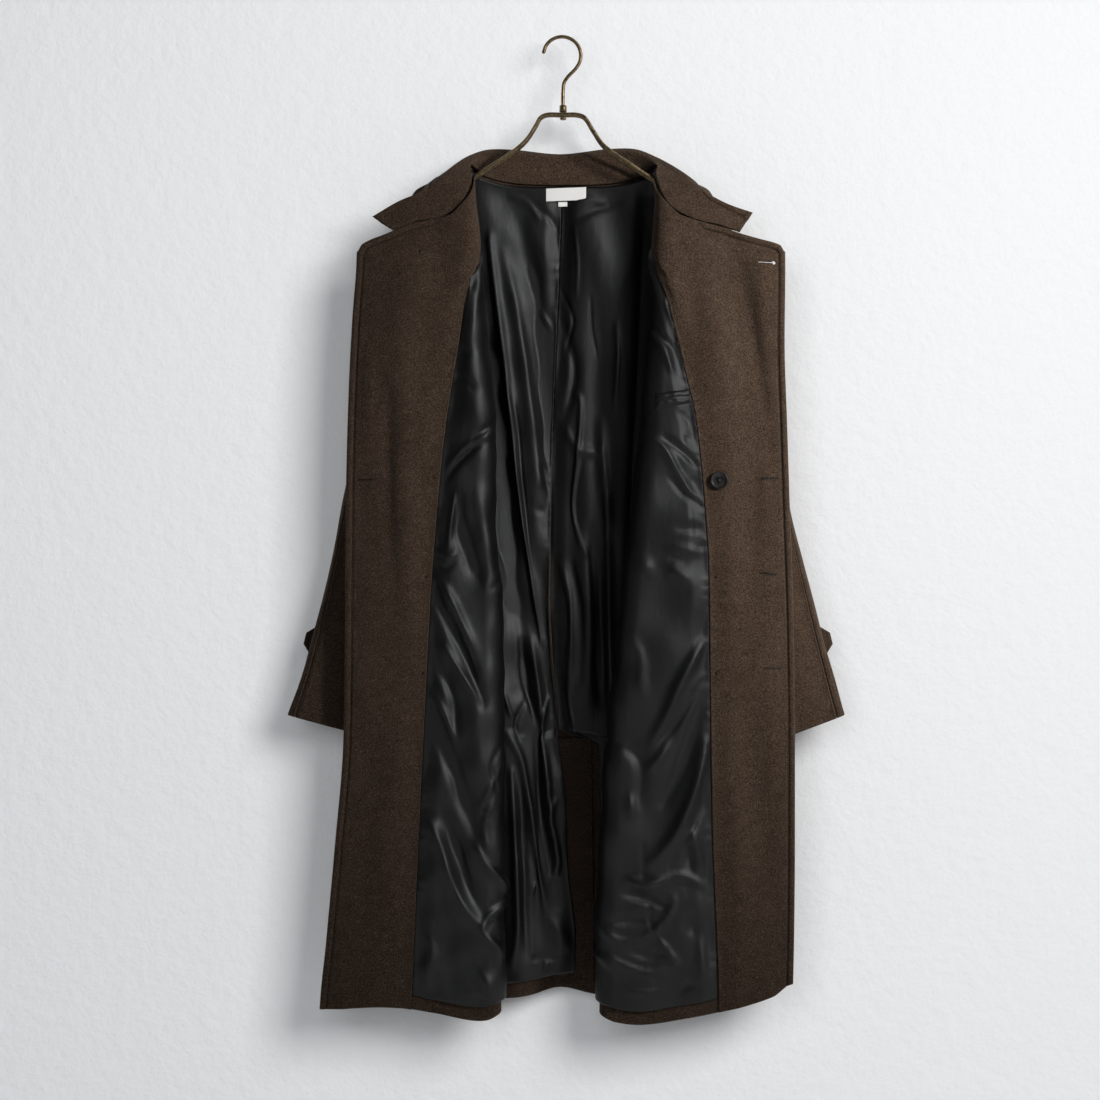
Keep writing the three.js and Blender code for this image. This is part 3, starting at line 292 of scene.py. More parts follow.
def backDepth(sign, x, z):
    y = np.full(np.shape(x), float(backY))
    for topX, hemX, topDepth, hemDepth, width, fromZ, toZ in backFolds[sign]:
        along = np.clip((fromZ - z) / (fromZ - toZ), 0, 1.25)
        fade = np.where(along > 1, (1.25 - along) / 0.25, 1)
        depth = lerp(topDepth, hemDepth, along) * fade
        y = y - depth * np.exp(-((x - lerp(topX, hemX, along)) / width) ** 2)
    return y


# A back panel's middle surface: 0 at the side and 1 at the centre seam
def backPoint(side, u, v):
    sign = side["sign"]
    top = read(backTopRows, "u", "z", u)
    z = lerp(top, read(backHemRows, "u", "z", u), v)
    gap = seamGap / 2
    sideX = sign * read(side["rows"], "z", "sideX", z)
    centreX = read(centreSeamRows, "z", "x", z) + sign * gap
    cornerX = sideX - sign * cornerRadius
    ease = shoulderEase(top - z)
    topY = np.maximum(read(backTopRows, "u", "y", u), shoulderGap)
    turn = (np.pi / 2) * (1 - np.minimum(u / 0.12, 1))
    opened = armholeOpen(z)
    above = z > armhole["bottomZ"]
    sideY = np.where(above, armhole["centreY"] + armhole["halfDepth"] * opened, armhole["centreY"])
    flatY = lerp(topY, backDepth(sign, cornerX, z), ease)
    edgeY = np.maximum(np.minimum(sideY, flatY), np.where(above, shoulderGap, gap))
    cornerAt = sideX - sign * cornerRadius * (1 - lerp(np.sin(turn), turn / (np.pi / 2), opened))
    cornerY = lerp(flatY, edgeY, 1 - np.cos(turn)) + np.where(above, 0, gap)
    x = np.where(u <= 0.12, cornerAt, lerp(cornerX, centreX, (u - 0.12) / 0.88))
    y = np.where(u <= 0.12, cornerY, lerp(topY, backDepth(sign, x, z), ease))
    return np.stack([x, y, z + 0 * x], -1)


# Materials: each takes its tone from constants set on the shader's sockets
def newMaterial(name, rough, color, sheen=0.0, specular=0.5, metal=0.0, coat=0.0):
    material = bpy.data.materials.new(name)
    material.use_nodes = True
    tree = material.node_tree
    shader = tree.nodes["Principled BSDF"]
    shader.inputs["Base Color"].default_value = (*color, 1)
    shader.inputs["Roughness"].default_value = rough
    shader.inputs["Metallic"].default_value = metal
    shader.inputs["Specular IOR Level"].default_value = specular
    shader.inputs["Sheen Weight"].default_value = sheen
    shader.inputs["Coat Weight"].default_value = coat
    return material, tree, shader


def link(tree, source, target):
    tree.links.new(source, target)


def noiseNode(tree, coordinate, scale, detail, roughness=0.5):
    node = tree.nodes.new("ShaderNodeTexNoise")
    node.inputs["Scale"].default_value = scale
    node.inputs["Detail"].default_value = detail
    node.inputs["Roughness"].default_value = roughness
    link(tree, coordinate, node.inputs["Vector"])
    return node.outputs["Fac"]


def mathNode(tree, operation, a, b=None, c=None):
    node = tree.nodes.new("ShaderNodeMath")
    node.operation = operation
    for k, value in enumerate((a, b, c)):
        if value is None:
            continue
        if isinstance(value, (int, float)):
            node.inputs[k].default_value = value
        else:
            link(tree, value, node.inputs[k])
    return node.outputs[0]


def rampNode(tree, factor, stops):
    node = tree.nodes.new("ShaderNodeValToRGB")
    ramp = node.color_ramp
    while len(ramp.elements) < len(stops):
        ramp.elements.new(0.5)
    for element, (place, color) in zip(ramp.elements, stops):
        element.position = place
        element.color = (*color, 1)
    link(tree, factor, node.inputs["Fac"])
    return node.outputs["Color"]


def bumpNode(tree, height, strength, distance, before=None):
    node = tree.nodes.new("ShaderNodeBump")
    node.inputs["Strength"].default_value = strength
    node.inputs["Distance"].default_value = distance
    link(tree, height, node.inputs["Height"])
    if before is not None:
        link(tree, before, node.inputs["Normal"])
    return node.outputs["Normal"]


woolLook = {"dark": (0.016, 0.0100, 0.0066), "mid": (0.0425, 0.0273, 0.0183), "light": (0.099, 0.069, 0.0495),
            "twill": 900, "stitchEvery": 0.0033, "stitchFrom": 0.0087, "stitchWide": 0.0011}


# Fulled wool: mottled yarn, a soft twill and dimples of the stitches beside an edge, with painted shade darkening
# the dimples
def woolMaterial():
    look = woolLook
    material, tree, shader = newMaterial("wool", 0.92, look["mid"], sheen=0.12, specular=0.12)
    shader.inputs["Sheen Roughness"].default_value = 0.55
    shader.inputs["Sheen Tint"].default_value = (0.62, 0.50, 0.40, 1)
    place = tree.nodes.new("ShaderNodeTexCoord").outputs["Object"]
    fine = noiseNode(tree, place, 620, 3, 0.8)
    wide = noiseNode(tree, place, 60, 3, 0.6)
    mixed = mathNode(tree, "MULTIPLY_ADD", wide, 0.10, mathNode(tree, "MULTIPLY", fine, 0.90))
    color = rampNode(tree, mixed, ((0.36, look["dark"]), (0.50, look["mid"]), (0.64, look["light"])))
    cloth = tree.nodes.new("ShaderNodeUVMap")
    cloth.uv_map = "cloth"
    split = tree.nodes.new("ShaderNodeSeparateXYZ")
    link(tree, cloth.outputs["UV"], split.inputs["Vector"])
    slant = mathNode(tree, "ADD", split.outputs["X"], split.outputs["Y"])
    twill = mathNode(tree, "SINE", mathNode(tree, "MULTIPLY", slant, look["twill"] * 4.2))
    edge = tree.nodes.new("ShaderNodeUVMap")
    edge.uv_map = "edge"
    parts = tree.nodes.new("ShaderNodeSeparateXYZ")
    link(tree, edge.outputs["UV"], parts.inputs["Vector"])
    offLine = mathNode(tree, "ABSOLUTE", mathNode(tree, "SUBTRACT", parts.outputs["Y"], look["stitchFrom"]))
    line = mathNode(tree, "DIVIDE", offLine, look["stitchWide"])
    line = mathNode(tree, "SUBTRACT", 1, mathNode(tree, "MINIMUM", line, 1))
    beat = mathNode(tree, "MULTIPLY", parts.outputs["X"], 2 * math.pi / look["stitchEvery"])
    beat = mathNode(tree, "SINE", beat)
    dimple = mathNode(tree, "MULTIPLY", line, mathNode(tree, "MULTIPLY_ADD", beat, 0.35, 0.65))
    # Painted shade: the stitch dimples are darkened towards near black, as the shade that falls in the stitch
    # grooves
    stitchShade = tree.nodes.new("ShaderNodeMix")
    stitchShade.data_type = "RGBA"
    link(tree, mathNode(tree, "MULTIPLY", dimple, 0.8), stitchShade.inputs["Factor"])
    link(tree, color, stitchShade.inputs["A"])
    stitchShade.inputs["B"].default_value = (0.008, 0.005, 0.003, 1)
    link(tree, stitchShade.outputs["Result"], shader.inputs["Base Color"])
    height = mathNode(tree, "MULTIPLY_ADD", twill, 0.12, mathNode(tree, "MULTIPLY_ADD", wide, 0.5, fine))
    first = bumpNode(tree, height, 0.5, 0.0003)
    second = bumpNode(tree, mathNode(tree, "MULTIPLY", dimple, -1), 0.6, 0.0006, first)
    link(tree, second, shader.inputs["Normal"])
    return material


liningLook = {"color": (0.0024, 0.0024, 0.0027), "rough": 0.47, "specular": 0.6}


# Satin: smooth and dark, with faint slubs and small soft wrinkles
def liningMaterial():
    look = liningLook
    material, tree, shader = newMaterial("lining", look["rough"], look["color"], specular=look["specular"])
    place = tree.nodes.new("ShaderNodeTexCoord").outputs["Object"]
    stretch = tree.nodes.new("ShaderNodeMapping")
    stretch.inputs["Scale"].default_value = (1, 1, 0.45)
    stretch.inputs["Rotation"].default_value = (0, 0.35, 0)
    link(tree, place, stretch.inputs["Vector"])
    wrinkles = noiseNode(tree, stretch.outputs["Vector"], 55, 3, 0.55)
    weave = noiseNode(tree, place, 1500, 1)
    first = bumpNode(tree, wrinkles, 0.22, 0.003)
    second = bumpNode(tree, weave, 0.25, 0.0001, first)
    link(tree, second, shader.inputs["Normal"])
    patchy = noiseNode(tree, place, 30, 2)
    link(tree, mathNode(tree, "MULTIPLY_ADD", patchy, 0.16, look["rough"] - 0.08), shader.inputs["Roughness"])
    return material


# Aged brass: mottled at random from brown to brighter, the brighter spots rougher
def brassMaterial():
    material, tree, shader = newMaterial("hanger_brass", 0.34, (0.30, 0.22, 0.12), metal=1.0)
    place = tree.nodes.new("ShaderNodeTexCoord").outputs["Object"]
    spots = noiseNode(tree, place, 260, 4, 0.6)
    tone = rampNode(tree, spots, ((0.35, (0.16, 0.115, 0.062)), (0.6, (0.38, 0.28, 0.16))))
    link(tree, tone, shader.inputs["Base Color"])
    link(tree, mathNode(tree, "MULTIPLY_ADD", spots, 0.25, 0.22), shader.inputs["Roughness"])
    return material


def hornMaterial():
    material, tree, shader = newMaterial("horn_button", 0.3, (0.012, 0.011, 0.011), specular=0.6)
    place = tree.nodes.new("ShaderNodeTexCoord").outputs["Object"]
    cloud = noiseNode(tree, place, 180, 3)
    tone = rampNode(tree, cloud, ((0.35, (0.006, 0.0055, 0.0055)), (0.7, (0.028, 0.025, 0.024))))
    link(tree, tone, shader.inputs["Base Color"])
    return material


def wovenMaterial():
    material, tree, shader = newMaterial("woven_label", 0.75, (0.80, 0.80, 0.79), sheen=0.1, specular=0.3)
    place = tree.nodes.new("ShaderNodeTexCoord").outputs["Object"]
    weave = tree.nodes.new("ShaderNodeTexWave")
    weave.inputs["Scale"].default_value = 900
    weave.bands_direction = "Z"
    link(tree, place, weave.inputs["Vector"])
    link(tree, bumpNode(tree, weave.outputs["Fac"], 0.25, 0.0003), shader.inputs["Normal"])
    return material


looks = {"wool": woolMaterial(), "lining": liningMaterial(), "brass": brassMaterial(),
         "horn": hornMaterial(), "woven": wovenMaterial()}
print("materials made")


# Distance to a line of points and the length along it, for every point of a grid
def nearest(points, line):
    line = np.asarray(line, float)
    flat = points.reshape(-1, points.shape[-1])
    best = np.full(len(flat), 1e9)
    along = np.zeros(len(flat))
    offSide = np.zeros(len(flat))
    start = 0.0
    for a, b in zip(line[:-1], line[1:]):
        d = b - a
        length = max(np.linalg.norm(d), 1e-9)
        t = np.clip(((flat - a) @ d) / length ** 2, 0, 1)
        gap = flat - (a + t[:, None] * d)
        distance = np.linalg.norm(gap, axis=1)
        closer = distance < best
        best = np.where(closer, distance, best)
        along = np.where(closer, start + t * length, along)
        if len(d) == 2:
            offSide = np.where(closer, np.sign(gap[:, 0] * d[1] - gap[:, 1] * d[0]), offSide)
        start += length
    shape = points.shape[:-1]
    return best.reshape(shape), along.reshape(shape), offSide.reshape(shape), start


# Raised folds (positive height) and troughs, drawn as lines of x and z, tapered at both ends.
# A lean above 0 makes the left flank of an upward line the steep one.
def creases(points, strokes):
    flat = points[..., [0, 2]]
    total = np.zeros(points.shape[:-1])
    for height, width, lean, line in strokes:
        line = np.array(line, float)
        if len(line) > 2:
            line = rounded(line)
        distance, along, offSide, length = nearest(flat, line)
        taper = np.sin(np.pi * np.clip((along / length) * 0.86 + 0.07, 0, 1)) ** 0.8
        flank = width * (1 + lean * offSide)
        total += height * taper * np.exp(-(distance / flank) ** 2)
    return total


def rounded(line, steps=6):
    ends = np.vstack([2 * line[0] - line[1], line, 2 * line[-1] - line[-2]])
    out = []
    for k in range(1, len(ends) - 2):
        p0, p1, p2, p3 = ends[k - 1:k + 3]
        for t in np.arange(steps) / steps:
            out.append(0.5 * (2 * p1 + (p2 - p0) * t + (2 * p0 - 5 * p1 + 4 * p2 - p3) * t * t
                              + (3 * p1 - p0 - 3 * p2 + p3) * t ** 3))
    return np.array(out + [line[-1]])


# Slow uneven swell made of a few sines, the same at every run
def swell(points, seed, size, count=7):
    chance = np.random.default_rng(seed)
    total = np.zeros(points.shape[:-1])
    for k in range(count):
        direction = chance.normal(size=3)
        direction *= chance.uniform(0.6, 1.6) / (size * np.linalg.norm(direction))
        total += np.sin(points @ direction * 2 * np.pi + chance.uniform(0, 2 * np.pi)) / count
    return total * 2


def normalsOf(mid, sign):
    across = np.gradient(mid, axis=1)
    down = np.gradient(mid, axis=0)
    normal = np.cross(across, down) * sign
    return normal / np.maximum(np.linalg.norm(normal, axis=-1, keepdims=True), 1e-9)


def gridArc(mid, axis):
    steps = np.linalg.norm(np.diff(mid, axis=axis), axis=-1)
    pad = [(0, 0), (0, 0)]
    pad[axis] = (1, 0)
    return np.pad(np.cumsum(steps, axis=axis), pad)


# Distance from the grid's rim, in mm
def rimDistance(mid):
    u = gridArc(mid, 1)
    v = gridArc(mid, 0)
    return np.minimum(np.minimum(u, u[:, -1:] - u), np.minimum(v, v[-1:, :] - v))


def finishObject(name, mesh, look, replaced=()):
    mesh.name = name
    obj = bpy.data.objects.new(name.replace(" ", "-"), mesh)
    bpy.context.scene.collection.objects.link(obj)
    mesh.materials.append(looks[look])
    if replaced:
        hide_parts(*replaced)
    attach(obj, "root")
    return obj


# Closed shell between two grids that share their rim
def shellMesh(near, far, cloth=None, edge=None):
    rows, columns = near.shape[:2]
    index = np.arange(rows * columns).reshape(rows, columns)
    inner = np.zeros((rows, columns), bool)
    inner[1:-1, 1:-1] = True
    other = index.copy()
    other[inner] = rows * columns + np.arange(inner.sum())
    points = np.concatenate([near.reshape(-1, 3), far[inner]])
    a, b, c, d = index[:-1, :-1], index[1:, :-1], index[1:, 1:], index[:-1, 1:]
    e, f, g, h = other[:-1, :-1], other[1:, :-1], other[1:, 1:], other[:-1, 1:]
    front = np.stack([a, b, c, d], -1).reshape(-1, 4)
    back = np.stack([e, h, g, f], -1).reshape(-1, 4)
    middle = (rows // 2, columns // 2)
    p = near[middle[0]:middle[0] + 2, middle[1]:middle[1] + 2]
    facing = np.cross(p[1, 0] - p[0, 0], p[0, 1] - p[0, 0])
    faces = np.concatenate([front, back])
    if facing @ (near[middle] - far[middle]) < 0:
        faces = faces[:, ::-1]
    mesh = bpy.data.meshes.new("cloth")
    mesh.from_pydata((points * 0.001).tolist(), [], faces.tolist())
    mesh.polygons.foreach_set("use_smooth", [True] * len(faces))
    origin = np.concatenate([np.arange(rows * columns), index[inner]])
    loops = np.zeros(len(mesh.loops), int)
    mesh.loops.foreach_get("vertex_index", loops)
    for label, grid in (("cloth", cloth), ("edge", edge)):
        layer = mesh.uv_layers.new(name=label)
        if grid is None:
            grid = np.full((rows, columns, 2), 1.0)
        layer.data.foreach_set("uv", (grid.reshape(-1, 2)[origin[loops]] * 0.001).ravel())
    mesh.validate()
    mesh.update()
    return mesh


# Layer of cloth on a panel's middle surface. bulge lifts it towards the lining side.
# draw pulls a layer's rim towards another distance, so that two layers close on one edge.
def clothLayer(name, mid, span, sign, look, replaced, rim=1.2, bulge=0.0, draw=None, edge=None):
    normal = normalsOf(mid, sign)
    away = rimDistance(mid)
    rounding = np.sqrt(np.maximum(0, 1 - (1 - np.minimum(away / rim, 1)) ** 2))
    centre = np.full(away.shape, (span[0] + span[1]) / 2)
    if draw is not None:
        centre = centre + draw
    half = (span[1] - span[0]) / 2 * rounding
    near = mid + normal * (centre - half - bulge)[..., None]
    far = mid + normal * (centre + half - bulge)[..., None]
    cloth = np.stack([gridArc(mid, 1), gridArc(mid, 0)], -1)
    return finishObject(name, shellMesh(near, far, cloth, edge), look, replaced)


# Stations between 0 and 1 that are close together near one or both ends
def stations(count, first=0, firstSize=0.0, last=0, lastSize=0.0):
    head = np.linspace(0, firstSize, first + 1)[:-1] if first else np.array([])
    tail = np.linspace(1 - lastSize, 1, last + 1)[1:] if last else np.array([])
    return np.concatenate([head, np.linspace(firstSize, 1 - lastSize, count + 1), tail])


panelSign = {"left": 1, "right": -1}
frontStations = (0, 0.022, 0.136, 0.176, 0.249, 0.34, 0.4, 0.44, 0.47, 0.5, 0.53, 0.56, 0.59, 0.62,
                 0.7, 0.78, 0.86, 0.907, 0.953, 1)
pieces = {}


# Where the seam leaves the crest, facing and lining stand a little prouder
def seamRise(side, u, v):
    z = frontPoint(side, np.full(u.shape, bendStart), v)[..., 2]
    column = np.interp(u, frontStations, np.arange(len(frontStations)))
    near = np.maximum(0, 1 - np.abs(column - 8.2) / 3.2)
    return 5.5 * np.exp(-((z - side["rise"]) / 56) ** 2) * np.minimum(1, near * 2)


def edgeLine(side, topEnd=0.30):
    across = np.linspace(topEnd, 0, 40)
    down = np.concatenate([np.linspace(0, 0.03, 8), np.linspace(0.05, 1, 50)])
    top = frontPoint(side, across, np.zeros(40))
    return np.concatenate([top, frontPoint(side, np.zeros(58), down)[1:]])


edgeSew = {"at": 8.7, "wide": 1.6, "deep": 1.7, "puff": 1.0}


def sewnEdge(distance):
    e = edgeSew
    groove = e["deep"] * np.exp(-((distance - e["at"]) / e["wide"]) ** 2)
    puff = e["puff"] * np.sin(np.pi * np.clip(distance / e["at"], 0, 1))
    return puff - groove


# Dents that the threads of the outer buttons pull into the facing, and soft hollows of the cloth
facingDents = {
    "left": ((-162, -573.5, 2.4, 3.6), (-172, -699, 2.4, 3.6), (-176, -821.5, 2.4, 3.6),
             (-181.3, -286, 2.6, 6)),
    "right": ((196, -699, 2.4, 3.6), (197, -821.5, 2.4, 3.6), (201, -575, 0.8, 12)),
}
facingFolds = {
    "left": ((2.0, 12, 0.2, ((-262, -330), (-252, -420), (-250, -520))),
             (-2.6, 9, 0, ((-222, -460), (-220, -560), (-216, -680))),
             (2.4, 22, 0, ((-200, -900), (-225, -1050), (-235, -1200))),
             (-2.0, 20, 0, ((-240, -800), (-256, -950), (-262, -1100)))),
    "right": ((-3.0, 9, 0, ((228, -300), (246, -390), (262, -480), (268, -560))),
              (2.4, 11, 0, ((258, -330), (272, -430), (276, -520))),
              (2.2, 20, 0, ((215, -960), (222, -1080), (236, -1220))),
              (-2.0, 18, 0, ((252, -930), (262, -1060), (274, -1180)))),
}
# Broad bends of the whole turned-back front, towards the viewer, then width, lean and line
flapBends = {
    "left": ((7, 22, 0, ((-188, -285), (-203, -370), (-206, -470))),
             (5, 14, 0, ((-201, -440), (-201, -560), (-198, -690), (-190, -770))),
             (-4, 18, 0, ((-240, -520), (-246, -640), (-240, -760))),
             (-4, 30, 0, ((-230, -900), (-250, -1040), (-256, -1200)))),
    "right": ((-10, 25, 0, ((204, -262), (224, -340), (238, -430), (246, -530))),
              (-6, 22, 0, ((250, -500), (244, -620), (236, -760))),
              (5, 16, 0, ((176, -300), (196, -400), (212, -500))),
              (-5, 30, 0, ((236, -840), (240, -980), (244, -1130)))),
}
facingLoose = 4.0  # how far the facing lies off the front between its sewn edges


def bend(name, mid, u):
    shift = creases(mid, flapBends[name]) * (1 - smooth(0.30, 0.41, u))
    return mid - np.stack([0 * shift, shift, 0 * shift], -1)


def makeFront(name):
    side = sides[name]
    sign = panelSign[name]
    line = edgeLine(side)
    v = stations(196, 16, 0.016, 9, 0.012)
    u = runs((0, 0.038, 17), (0.038, 0.44, 46), (0.44, 0.62, 21), (0.62, 0.86, 22), (0.86, 1, 13))
    gridU, gridV = np.meshgrid(u, v)
    mid = frontPoint(side, gridU, gridV)
    distance, along, offSide, length = nearest(mid, line)
    mid = bend(name, mid, gridU)
    onFlap = 1 - smooth(0.4, 0.5, gridU)
    bulge = -sewnEdge(np.where(gridU < 0.45, distance, 99)) * 0.8
    bulge = bulge - 0.5 * swell(mid, 11 + sign, 210)
    draw = -0.35 * np.exp(-(np.where(gridU < 0.3, distance, 99) / 1.2) ** 2)
    edge = np.stack([along, np.where(onFlap > 0.5, distance, 999)], -1)
    pieces["front_" + name] = clothLayer("front " + name, mid, woolSpan, sign, "wool", ["front_" + name],
                                         rim=1.1, bulge=bulge, draw=draw, edge=edge)

    seam = seamStations(side, v)
    s = stations(30, 20, 0.13, 6, 0.05)
    gridS, gridV = np.meshgrid(s, v)
    gridU = gridS * (seam[:, None] - 0.0006)
    mid = frontPoint(side, gridU, gridV)
    distance, along, offSide, length = nearest(mid, line)
    mid = bend(name, mid, gridU)
    toSeam = gridArc(mid, 1)
    toSeam = toSeam[:, -1:] - toSeam
    free = smooth(9, 34, distance) * smooth(2, 30, toSeam)
    folds = 1.25 * creases(mid, facingFolds[name]) + 1.6 * swell(mid, 21 + sign, 110)
    for x, z, deep, wide in facingDents[name]:
        folds = folds - deep * np.exp(-((mid[..., 0] - x) ** 2 + (mid[..., 2] - z) ** 2) / wide ** 2)
    bulge = np.maximum((facingLoose + folds) * free, -0.2)
    bulge = bulge + seamRise(side, gridU, gridV) + sewnEdge(distance) + 0.5 * np.exp(-(toSeam / 3.2) ** 2)
    draw = 1.0 * np.exp(-(distance / 1.3) ** 2)
    edge = np.stack([along, distance], -1)
    pieces["facing_" + name] = clothLayer("facing " + name, mid, facingSpan, sign, "wool", ["facing_" + name],
                                          rim=1.3, bulge=bulge, draw=draw, edge=edge)


def liningPucker(mid, distance, along, size):
    wave = np.sin(along * 2 * np.pi / 13 + 2 * np.sin(along / 31)) * np.sin(along / 17 + 1.3)
    return size * wave * np.exp(-(distance / 7.0) ** 2)


looseLining = {"front": 5.0, "back": 5.0}  # how far a lining hangs off the wool between its seams


def makeFrontLining(name):
    side = sides[name]
    sign = panelSign[name]
    v = runs((0, 0.976, 236), (0.976, 0.982, 5))
    seam = seamStations(side, v)[:, None] - 0.0035
    s = runs((0, 0.03, 4), (0.03, 0.62, 58), (0.62, 1, 20))
    gridS, gridV = np.meshgrid(s, v)
    gridU = np.where(gridS < 0.62, seam + (0.62 - seam) * gridS / 0.62, gridS)
    mid = frontPoint(side, np.minimum(gridU, 0.99), gridV)
    shown = 1 - smooth(0.56, 0.64, gridU)
    fromSeam = gridArc(mid, 1)
    settle = smooth(1, 7, fromSeam)
    loose = looseLining["front"] * smooth(2, 26, fromSeam)
    folds = 1.45 * creases(mid, liningFolds[name]) + 2.2 * swell(mid, 31 + sign, 75)
    if name == "right":
        away = ((mid[..., 0] - 150) / 40) ** 2 + ((mid[..., 2] + 471) / 18) ** 2
        folds = folds * (1 - 0.85 * np.exp(-away))
    bulge = seamRise(side, gridU, gridV) + (loose + folds * settle) * shown
    bulge = bulge + liningPucker(mid, fromSeam, gridArc(mid, 0), 1.5) * shown * smooth(0.4, 2, fromSeam)
    pieces["front_lining_" + name] = clothLayer("front lining " + name, mid, liningSpan, sign, "lining",
                                                ["front_lining_" + name], rim=0.8,
                                                bulge=np.maximum(bulge, -0.25))


backSeamOverlap = 1.1  # how far each half of the back goes past the centre seam, so no light shows between


def makeBack(name):
    side = sides[name]
    sign = panelSign[name]
    u = runs((0, 0.12, 12), (0.12, 0.98, 62), (0.98, 1, 5))
    v = stations(170, 8, 0.008, 6, 0.006)
    gridU, gridV = np.meshgrid(u, v)
    mid = backPoint(side, gridU, gridV)
    mid[..., 0] += sign * backSeamOverlap * smooth(0.96, 1, gridU)
    bulge = -0.5 * swell(mid, 41 + sign, 190) * smooth(0.12, 0.3, gridU)
    toSeam = gridArc(mid, 1)
    toSeam = toSeam[:, -1:] - toSeam
    bulge = bulge + 0.8 * np.exp(-(toSeam / 2.2) ** 2)
    pieces["back_" + name] = clothLayer("back " + name, mid, woolSpan, sign, "wool", ["back_" + name],
                                        rim=1.1, bulge=bulge)


ventLook = {"liningTopZ": -901, "fullZ": -908, "lift": 3.8}


def makeBackLining(name):
    side = sides[name]
    sign = panelSign[name]
    hand = side["sign"]
    v = runs((0, 0.975, 240), (0.975, 0.981, 4))
    top = np.array([backPoint(side, np.array([1.0]), np.array([x]))[0, 2] for x in v])
    opened = smooth(ventLook["liningTopZ"], ventLook["fullZ"], top)
    last = np.ones(len(v))
    if name == "right":
        ventX = read(rightVentRows, "z", "x", top)
        sideX = read(side["rows"], "z", "sideX", top) - cornerRadius
        centreX = read(centreSeamRows, "z", "x", top)
        last = lerp(1.0, 0.12 + 0.88 * (sideX - ventX) / (sideX - centreX), opened)
    s = runs((0, 0.12, 8), (0.12, 0.97, 92), (0.97, 1, 7))
    gridS, gridV = np.meshgrid(s, v)
    gridU = gridS * last[:, None]
    mid = backPoint(side, gridU, gridV)
    if name == "left":
        reach = smooth(0.90, 1, gridU) * opened[:, None]
        ventX = read(leftVentRows, "z", "x", mid[..., 2]) - read(centreSeamRows, "z", "x", mid[..., 2])
        mid = mid + np.stack([reach * ventX, -ventLook["lift"] * smooth(0.84, 0.93, gridU) * opened[:, None],
                              np.zeros(reach.shape)], -1)
    shown = smooth(0.12, 0.2, gridU)
    toSeam = gridArc(mid, 1)
    toSeam = toSeam[:, -1:] - toSeam
    settle = smooth(0, 5, toSeam)
    loose = looseLining["back"] * smooth(2, 22, toSeam)
    folds = 1.5 * creases(mid, backLiningFolds[name]) + 2.0 * swell(mid, 51 + hand, 85)
    bulge = (loose + folds * settle) * shown
    bulge = bulge + liningPucker(mid, toSeam, gridArc(mid, 0), 0.9) * shown * (1 - opened[:, None])
    if name == "left":
        bulge = bulge + 0.9 * np.exp(-(toSeam / 3.0) ** 2) * (1 - opened[:, None])
    pieces["back_lining_" + name] = clothLayer("back lining " + name, mid, liningSpan, sign, "lining",
                                               ["back_lining_" + name], rim=0.8,
                                               bulge=np.maximum(bulge, -0.25))


def makeUnderlap():
    s = stations(18, 3, 0.03, 3, 0.03)
    v = stations(80, 3, 0.004, 3, 0.004)
    gridS, gridV = np.meshgrid(s, v)
    z = lerp(-911.0, -1234.0, gridV)
    seam = read(centreSeamRows, "z", "x", z)
    x = seam - 8 + 52 * gridS
    y = np.minimum(backDepth(-1, np.minimum(x, seam), z), backDepth(1, np.maximum(x, seam), z)) - 3.2
    mid = np.stack([x, y, z], -1)
    return clothLayer("vent underlap", mid, woolSpan, -1, "wool", ["vent_underlap"], rim=1.1,
                      bulge=0.25 * swell(mid, 5, 90))


sleeveSeams = {"fore": 28, "hind": 213}
sleeveFolds = {
    "left": ((3.0, 17, 0.2, ((-196, -470), (-214, -540), (-238, -640), (-262, -730))),
             (2.2, 13, 0, ((-226, -330), (-240, -430), (-262, -560))),
             (-1.6, 12, 0, ((-258, -600), (-285, -700), (-305, -790)))),
    "right": ((3.0, 17, 0.2, ((200, -470), (219, -550), (245, -650), (270, -740))),
              (2.0, 13, 0, ((232, -330), (250, -430), (276, -560))),
              (-1.6, 12, 0, ((270, -600), (300, -700), (322, -790)))),
}


def sleevePoint(side, degrees, row):
    table = dict(side["sleeve"])
    table["row"] = np.arange(9.0)
    at = {key: read(table, "row", key, row) for key in ("outX", "outZ", "inX", "inZ", "midY", "half")}
    turn = np.radians(degrees)
    out = (1 + np.cos(turn)) / 2
    return np.stack([side["sign"] * lerp(at["inX"], at["outX"], out), at["midY"] - at["half"] * np.sin(turn),
                     lerp(at["inZ"], at["outZ"], out)], -1)


